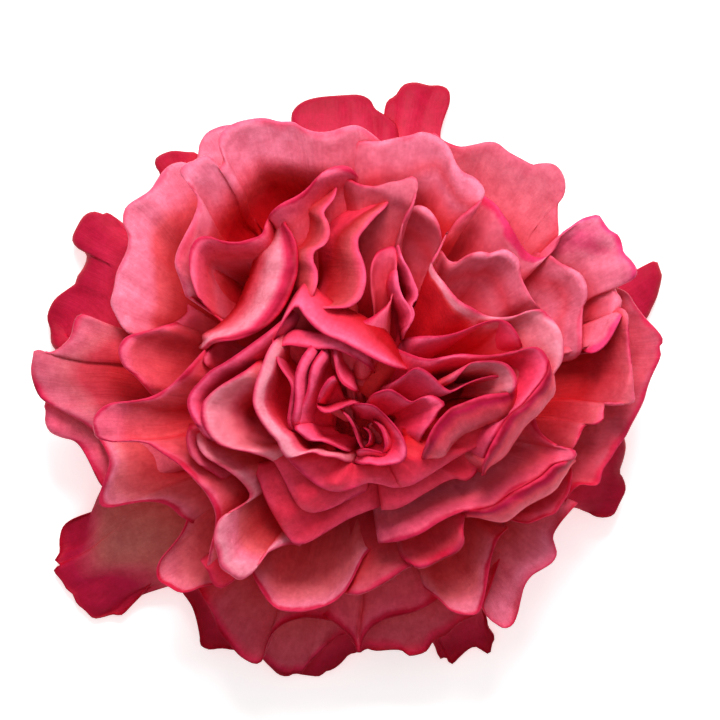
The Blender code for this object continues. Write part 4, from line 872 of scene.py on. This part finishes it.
def grid_normals(grid):
    """The upper side's direction at each point of the grid."""
    last_column, last_row = len(grid) - 1, len(grid[0]) - 1
    made = []
    for c, run in enumerate(grid):
        line = []
        for r in range(len(run)):
            across = grid[min(c + 1, last_column)][r] - grid[max(c - 1, 0)][r]
            along = run[min(r + 1, last_row)] - run[max(r - 1, 0)]
            normal = across.cross(along)
            line.append(normal.normalized() if normal.length > TINY else Vector((0, 0, 1)))
        made.append(line)
    if sum(normal.z for line in made for normal in line[:4]) < 0.0:
        made = [[-normal for normal in line] for line in made]
    return made


def tint_shifts(shape, rim, spans):
    """What each column adds to its rim distance so that a notch draws no stripe down the face."""
    if shape["fall"] or shape["roof"]:
        return [0.0] * len(rim)
    return [span - flat_span(shape, point) for span, point in zip(spans, rim)]


def tint_scale(shape, share):
    """How fast the colour deepens away from the rim, read at this share of the rim's length."""
    marks = shape["tints"]
    place = share * (len(marks) - 1)
    low = min(int(place), len(marks) - 2)
    return marks[low] + (marks[low + 1] - marks[low]) * (place - low)


def tint_distances(shape, grid, shifts):
    """For each point of the grid, the distance from the rim that its colour is taken from."""
    made = []
    for column, run in enumerate(grid):
        scale = tint_scale(shape, column / (len(grid) - 1))
        edge = 0.0
        for row, point in enumerate(run):
            if row:
                edge += (point - run[row - 1]).length
            tint = edge + shifts[column] * smooth_share((edge - SHIFT_START) / SHIFT_REACH)
            tint += (scale - 1.0) * max(edge - TINT_START, 0.0)
            made.append(max(tint, min(edge, TINT_LEAST)))
    return made


def side_points(grid, normals, side):
    """One face of the petal, half its thickness away from the grid, in metres."""
    made = []
    for run, line in zip(grid, normals):
        for row, (point, normal) in enumerate(zip(run, line)):
            thin = 1.0 if row else RIM_SKIN
            made.append((point + normal * (0.5 * PETAL_SKIN * side * thin)) * MM)
    return made


def shell_faces(columns, rows):
    """The quads of both faces and of the border between them."""
    back = columns * rows
    faces = []
    for c in range(columns - 1):
        for r in range(rows - 1):
            a = c * rows + r
            corners = (a, a + 1, a + 1 + rows, a + rows)
            faces.append(corners)
            faces.append(tuple(back + corner for corner in reversed(corners)))
    border = [c * rows for c in range(columns)]
    border += [(columns - 1) * rows + r for r in range(1, rows)]
    border += [c * rows + rows - 1 for c in range(columns - 2, -1, -1)]
    border += list(range(rows - 2, 0, -1))
    for here, there in zip(border, border[1:] + border[:1]):
        faces.append((here, there, back + there, back + here))
    return faces


def store(mesh, **attributes):
    """Stores one number for each point, under each name."""
    for name, values in attributes.items():
        mesh.attributes.new(name, "FLOAT", "POINT").data.foreach_set("value", values)


def add_object(name, data):
    """Links a new object to the scene."""
    made = bpy.data.objects.new(name, data)
    bpy.context.scene.collection.objects.link(made)
    return made


def fix_normals(mesh, join=False):
    """Turns every face to point out of its closed solid, with points that coincide joined first."""
    work = bmesh.new()
    work.from_mesh(mesh)
    if join:
        bmesh.ops.remove_doubles(work, verts=work.verts[:], dist=SAME_POINT)
    bmesh.ops.recalc_face_normals(work, faces=work.faces[:])
    work.to_mesh(mesh)
    work.free()


def petal_piece(shape, skin):
    """A closed thin petal with its rim distance and side stored for the material."""
    rim = rim_line(shape)
    places = pleat_places(shape, rim)
    spans = smooth_spans(shape, rim, places)
    grid = petal_grid(shape, rim, places, spans)
    normals = grid_normals(grid)
    tints = tint_distances(shape, grid, tint_shifts(shape, rim, spans))
    name = "petal_" + shape["name"]
    mesh = bpy.data.meshes.new(name)
    points = side_points(grid, normals, 1.0) + side_points(grid, normals, -1.0)
    mesh.from_pydata(points, [], shell_faces(len(grid), ROW_COUNT))
    mesh.validate()
    back = len(tints)
    store(mesh, edge_mm=tints + tints, side=[0.0] * back + [1.0] * back)
    uv = mesh.uv_layers.new(name="UVMap")
    for loop in mesh.loops:
        index = loop.vertex_index % back
        uv.data[loop.index].uv = (index // ROW_COUNT * RIM_STEP * MM, tints[index] * MM)
    mesh.shade_smooth()
    mesh.materials.append(skin)
    fix_normals(mesh)
    return add_object(name, mesh)


def core_piece(skin):
    """The closed middle that carries the petals, seen only as darkness between them."""
    points, faces = [], []
    for radius, z in CORE_PROFILE:
        for turn in range(CORE_TURNS):
            angle = math.tau * turn / CORE_TURNS
            reach = radius * (1.0 + CORE_BULGE * math.sin(CORE_BUMPS * angle + z))
            points.append(Vector((HEART.x + reach * math.cos(angle),
                                  HEART.y + reach * math.sin(angle), z)) * MM)
    for row in range(len(CORE_PROFILE) - 1):
        for turn in range(CORE_TURNS):
            here, there = row * CORE_TURNS + turn, row * CORE_TURNS + (turn + 1) % CORE_TURNS
            faces.append((here, there, there + CORE_TURNS, here + CORE_TURNS))
    mesh = bpy.data.meshes.new("bloom_core")
    mesh.from_pydata(points, [], faces)
    fix_normals(mesh, join=True)
    count = len(mesh.vertices)
    # The core takes the skin's deepest red all over: painted shade, as it is seen only in the depths.
    store(mesh, edge_mm=[TINT_SPAN] * count, side=[0.0] * count)
    mesh.uv_layers.new(name="UVMap")
    mesh.shade_smooth()
    mesh.materials.append(skin)
    return add_object("bloom_core", mesh)


def feed(tree, source, socket):
    """Links a node's output to a socket, or sets the socket where the source is a plain value."""
    if isinstance(source, bpy.types.NodeSocket):
        tree.links.new(source, socket)
    else:
        socket.default_value = source


def add_node(tree, kind, sources, output, **settings):
    """The named output of a new node, with each of the node's inputs fed from its source."""
    made = tree.nodes.new("ShaderNode" + kind)
    for name, value in settings.items():
        setattr(made, name, value)
    for name, source in sources.items():
        feed(tree, source, made.inputs[name])
    return made.outputs[output]


def noise_node(tree, place, scale, detail, roughness=0.5):
    """A noise texture read at the given place."""
    sources = {"Vector": place, "Scale": scale, "Detail": detail, "Roughness": roughness}
    return add_node(tree, "TexNoise", sources, "Fac")


def math_node(tree, operation, *sources):
    """A sum, a product or the like."""
    return add_node(tree, "Math", dict(enumerate(sources)), 0, operation=operation)


def mix_node(tree, blend, factor, first, second):
    """The first colour with the second one over it."""
    sources = {"Factor": factor, "A": first, "B": second}
    return add_node(tree, "Mix", sources, "Result", data_type="RGBA", blend_type=blend)


def ramp_node(tree, place, stops):
    """The colour that lies at this place between the stops."""
    made = tree.nodes.new("ShaderNodeValToRGB")
    band = made.color_ramp
    while len(band.elements) < len(stops):
        band.elements.new(0.5)
    for element, (position, colour) in zip(band.elements, stops):
        element.position = position
        element.color = (*colour, 1.0)
    tree.links.new(place, made.inputs["Fac"])
    return made.outputs["Color"]


def painted_shade_node(tree, gloom):
    """How sheltered a point is from the light, as the share of painted shade its colour takes: 0 outside,
    up to gloom between close petals.
    """
    sky = add_node(tree, "AmbientOcclusion", {"Distance": PAINTED_SHADE_REACH}, "AO", samples=1)
    sources = {"Value": sky, "From Min": PAINTED_SHADE_START, "From Max": PAINTED_SHADE_FULL, "To Max": gloom}
    return add_node(tree, "MapRange", sources, "Result", interpolation_type="SMOOTHSTEP")


def vein_node(tree):
    """Fine streaks that run from the rim to the root."""
    place = add_node(tree, "UVMap", {}, "UV")
    stretched = add_node(tree, "Mapping", {"Vector": place, "Scale": VEIN_SCALE}, "Vector")
    return noise_node(tree, stretched, scale=1.0, detail=3.0)


def add_bump(tree, height, strength, distance):
    """Gives the material's surface a fine relief."""
    sources = {"Height": height, "Strength": strength, "Distance": distance}
    normal = add_node(tree, "Bump", sources, "Normal")
    tree.links.new(normal, tree.nodes["Principled BSDF"].inputs["Normal"])


def new_material(name, roughness, specular=0.5):
    """A material of its own, with its node tree and its shader's inputs."""
    made = bpy.data.materials.new(name)
    made.use_nodes = True
    inputs = made.node_tree.nodes["Principled BSDF"].inputs
    inputs["Roughness"].default_value = roughness
    inputs["Specular IOR Level"].default_value = specular
    return made, made.node_tree, inputs


def petal_material(name, front, back=INSIDE, stray=3.0, gloom=0.95):
    """Petal skin: coloured by its distance from the rim, with painted shade and fine veins along the petal.

    front and back: the colour stops of its two sides. stray: how far, in millimetres, a colour's
    edge wanders. gloom: how dark the painted shade of sheltered places gets.
    """
    made, tree, inputs = new_material("petal_" + name, roughness=0.55, specular=0.12)
    spot = add_node(tree, "TexCoord", {}, "Object")
    mottle = noise_node(tree, spot, scale=140.0, detail=5.0)
    edge = add_node(tree, "Attribute", {}, "Fac", attribute_name="edge_mm")
    side = add_node(tree, "Attribute", {}, "Fac", attribute_name="side")
    edge = math_node(tree, "MULTIPLY_ADD", mottle, stray, edge)
    place = math_node(tree, "SUBTRACT", edge, 0.5 * stray)
    place = math_node(tree, "MULTIPLY", place, 1.0 / TINT_SPAN)
    colour = mix_node(tree, "MIX", side, ramp_node(tree, place, front), ramp_node(tree, place, back))
    # Painted shade: deep red mixed into the colour where close petals shelter a point.
    colour = mix_node(tree, "MIX", painted_shade_node(tree, gloom), colour, (*PAINTED_SHADE_RED, 1.0))
    veins = vein_node(tree)
    blotch = noise_node(tree, spot, scale=450.0, detail=4.0)
    grain = noise_node(tree, spot, scale=1500.0, detail=6.0, roughness=0.7)
    for texture, stops, strength in ((veins, VEIN_STOPS, 0.3), (blotch, BLOTCH_STOPS, 0.7),
                                     (grain, GRAIN_STOPS, 0.6)):
        colour = mix_node(tree, "MULTIPLY", strength, colour, ramp_node(tree, texture, stops))
    tree.links.new(colour, inputs["Base Color"])
    add_bump(tree, math_node(tree, "ADD", veins, blotch), strength=0.32, distance=0.0003)
    return made


def leaf_material():
    """Calyx skin: green, mottled, with a fine bump."""
    made, tree, inputs = new_material("calyx_skin", roughness=0.55)
    place = add_node(tree, "TexCoord", {}, "Generated")
    spots = noise_node(tree, place, scale=300.0, detail=6.0)
    tree.links.new(ramp_node(tree, spots, SEPAL_STOPS), inputs["Base Color"])
    add_bump(tree, spots, strength=0.3, distance=0.0002)
    return made


def carry(piece):
    """The piece stands for the bloom's solid and takes the petals' finish."""
    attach(piece, "root")
    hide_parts("bloom")


def make_bloom():
    """The core and every petal, each petal in its own skin."""
    noise.seed_set(WARP_SEED)
    skins = {name: petal_material(name, **look) for name, look in SKINS.items()}
    carry(core_piece(skins["wine"]))
    for shape in GUARD_PETALS + OUTER_PETALS + MIDDLE_PETALS + INNER_PETALS + HEART_PETALS:
        carry(petal_piece(shape, skins[shape["skin"]]))


def paint_calyx():
    """Green for the solid hip and its sepals."""
    materials = bpy.data.objects["calyx"].data.materials
    materials.clear()
    materials.append(leaf_material())


def make_floor():
    """A plain white floor under the bloom."""
    mesh = bpy.data.meshes.new("floor")
    corners = [(x * FLOOR_HALF, y * FLOOR_HALF, 0.0) for x, y in ((-1, -1), (1, -1), (1, 1), (-1, 1))]
    mesh.from_pydata(corners, [], [(0, 1, 2, 3)])
    paint, _, inputs = new_material("floor_white", roughness=0.9)
    inputs["Base Color"].default_value = (*FLOOR_WHITE, 1.0)
    inputs["Emission Color"].default_value = (*WHITE, 1.0)
    inputs["Emission Strength"].default_value = FLOOR_GLOW
    mesh.materials.append(paint)
    floor = add_object("floor", mesh)


def area_light(name, place, size, power):
    """A square white light that shines at the bloom."""
    data = bpy.data.lights.new(name, "AREA")
    data.size = size
    data.energy = power
    light = add_object(name, data)
    light.location = place
    light.rotation_euler = (LIGHT_TARGET - Vector(place)).to_track_quat("-Z", "Y").to_euler()


def make_lights():
    """Soft light from above and from the photograph's upper side, with a pale world round it."""
    area_light("key", place=(0.04, 0.62, 0.66), size=0.40, power=9.0)
    area_light("fill", place=(0.0, 0.0, 1.1), size=1.0, power=2.2)
    world = bpy.data.worlds.new("studio")
    bpy.context.scene.world = world
    world.use_nodes = True
    back = world.node_tree.nodes["Background"]
    back.inputs["Color"].default_value = (*WHITE, 1.0)
    back.inputs["Strength"].default_value = WORLD_GLOW
    bpy.context.scene.view_settings.view_transform = "Standard"


def make_camera():
    """A camera that looks straight down, as the photograph does."""
    data = bpy.data.cameras.new("camera")
    data.sensor_width = SENSOR_WIDTH
    data.lens = SENSOR_WIDTH * VIEW_DISTANCE / VIEW_WIDTH
    data.clip_end = CLIP_END
    camera = add_object("camera", data)
    camera.location = VIEW_MIDDLE + Vector((0.0, 0.0, VIEW_DISTANCE))
    bpy.context.scene.camera = camera


make_camera()
make_lights()
make_floor()
make_bloom()
paint_calyx()
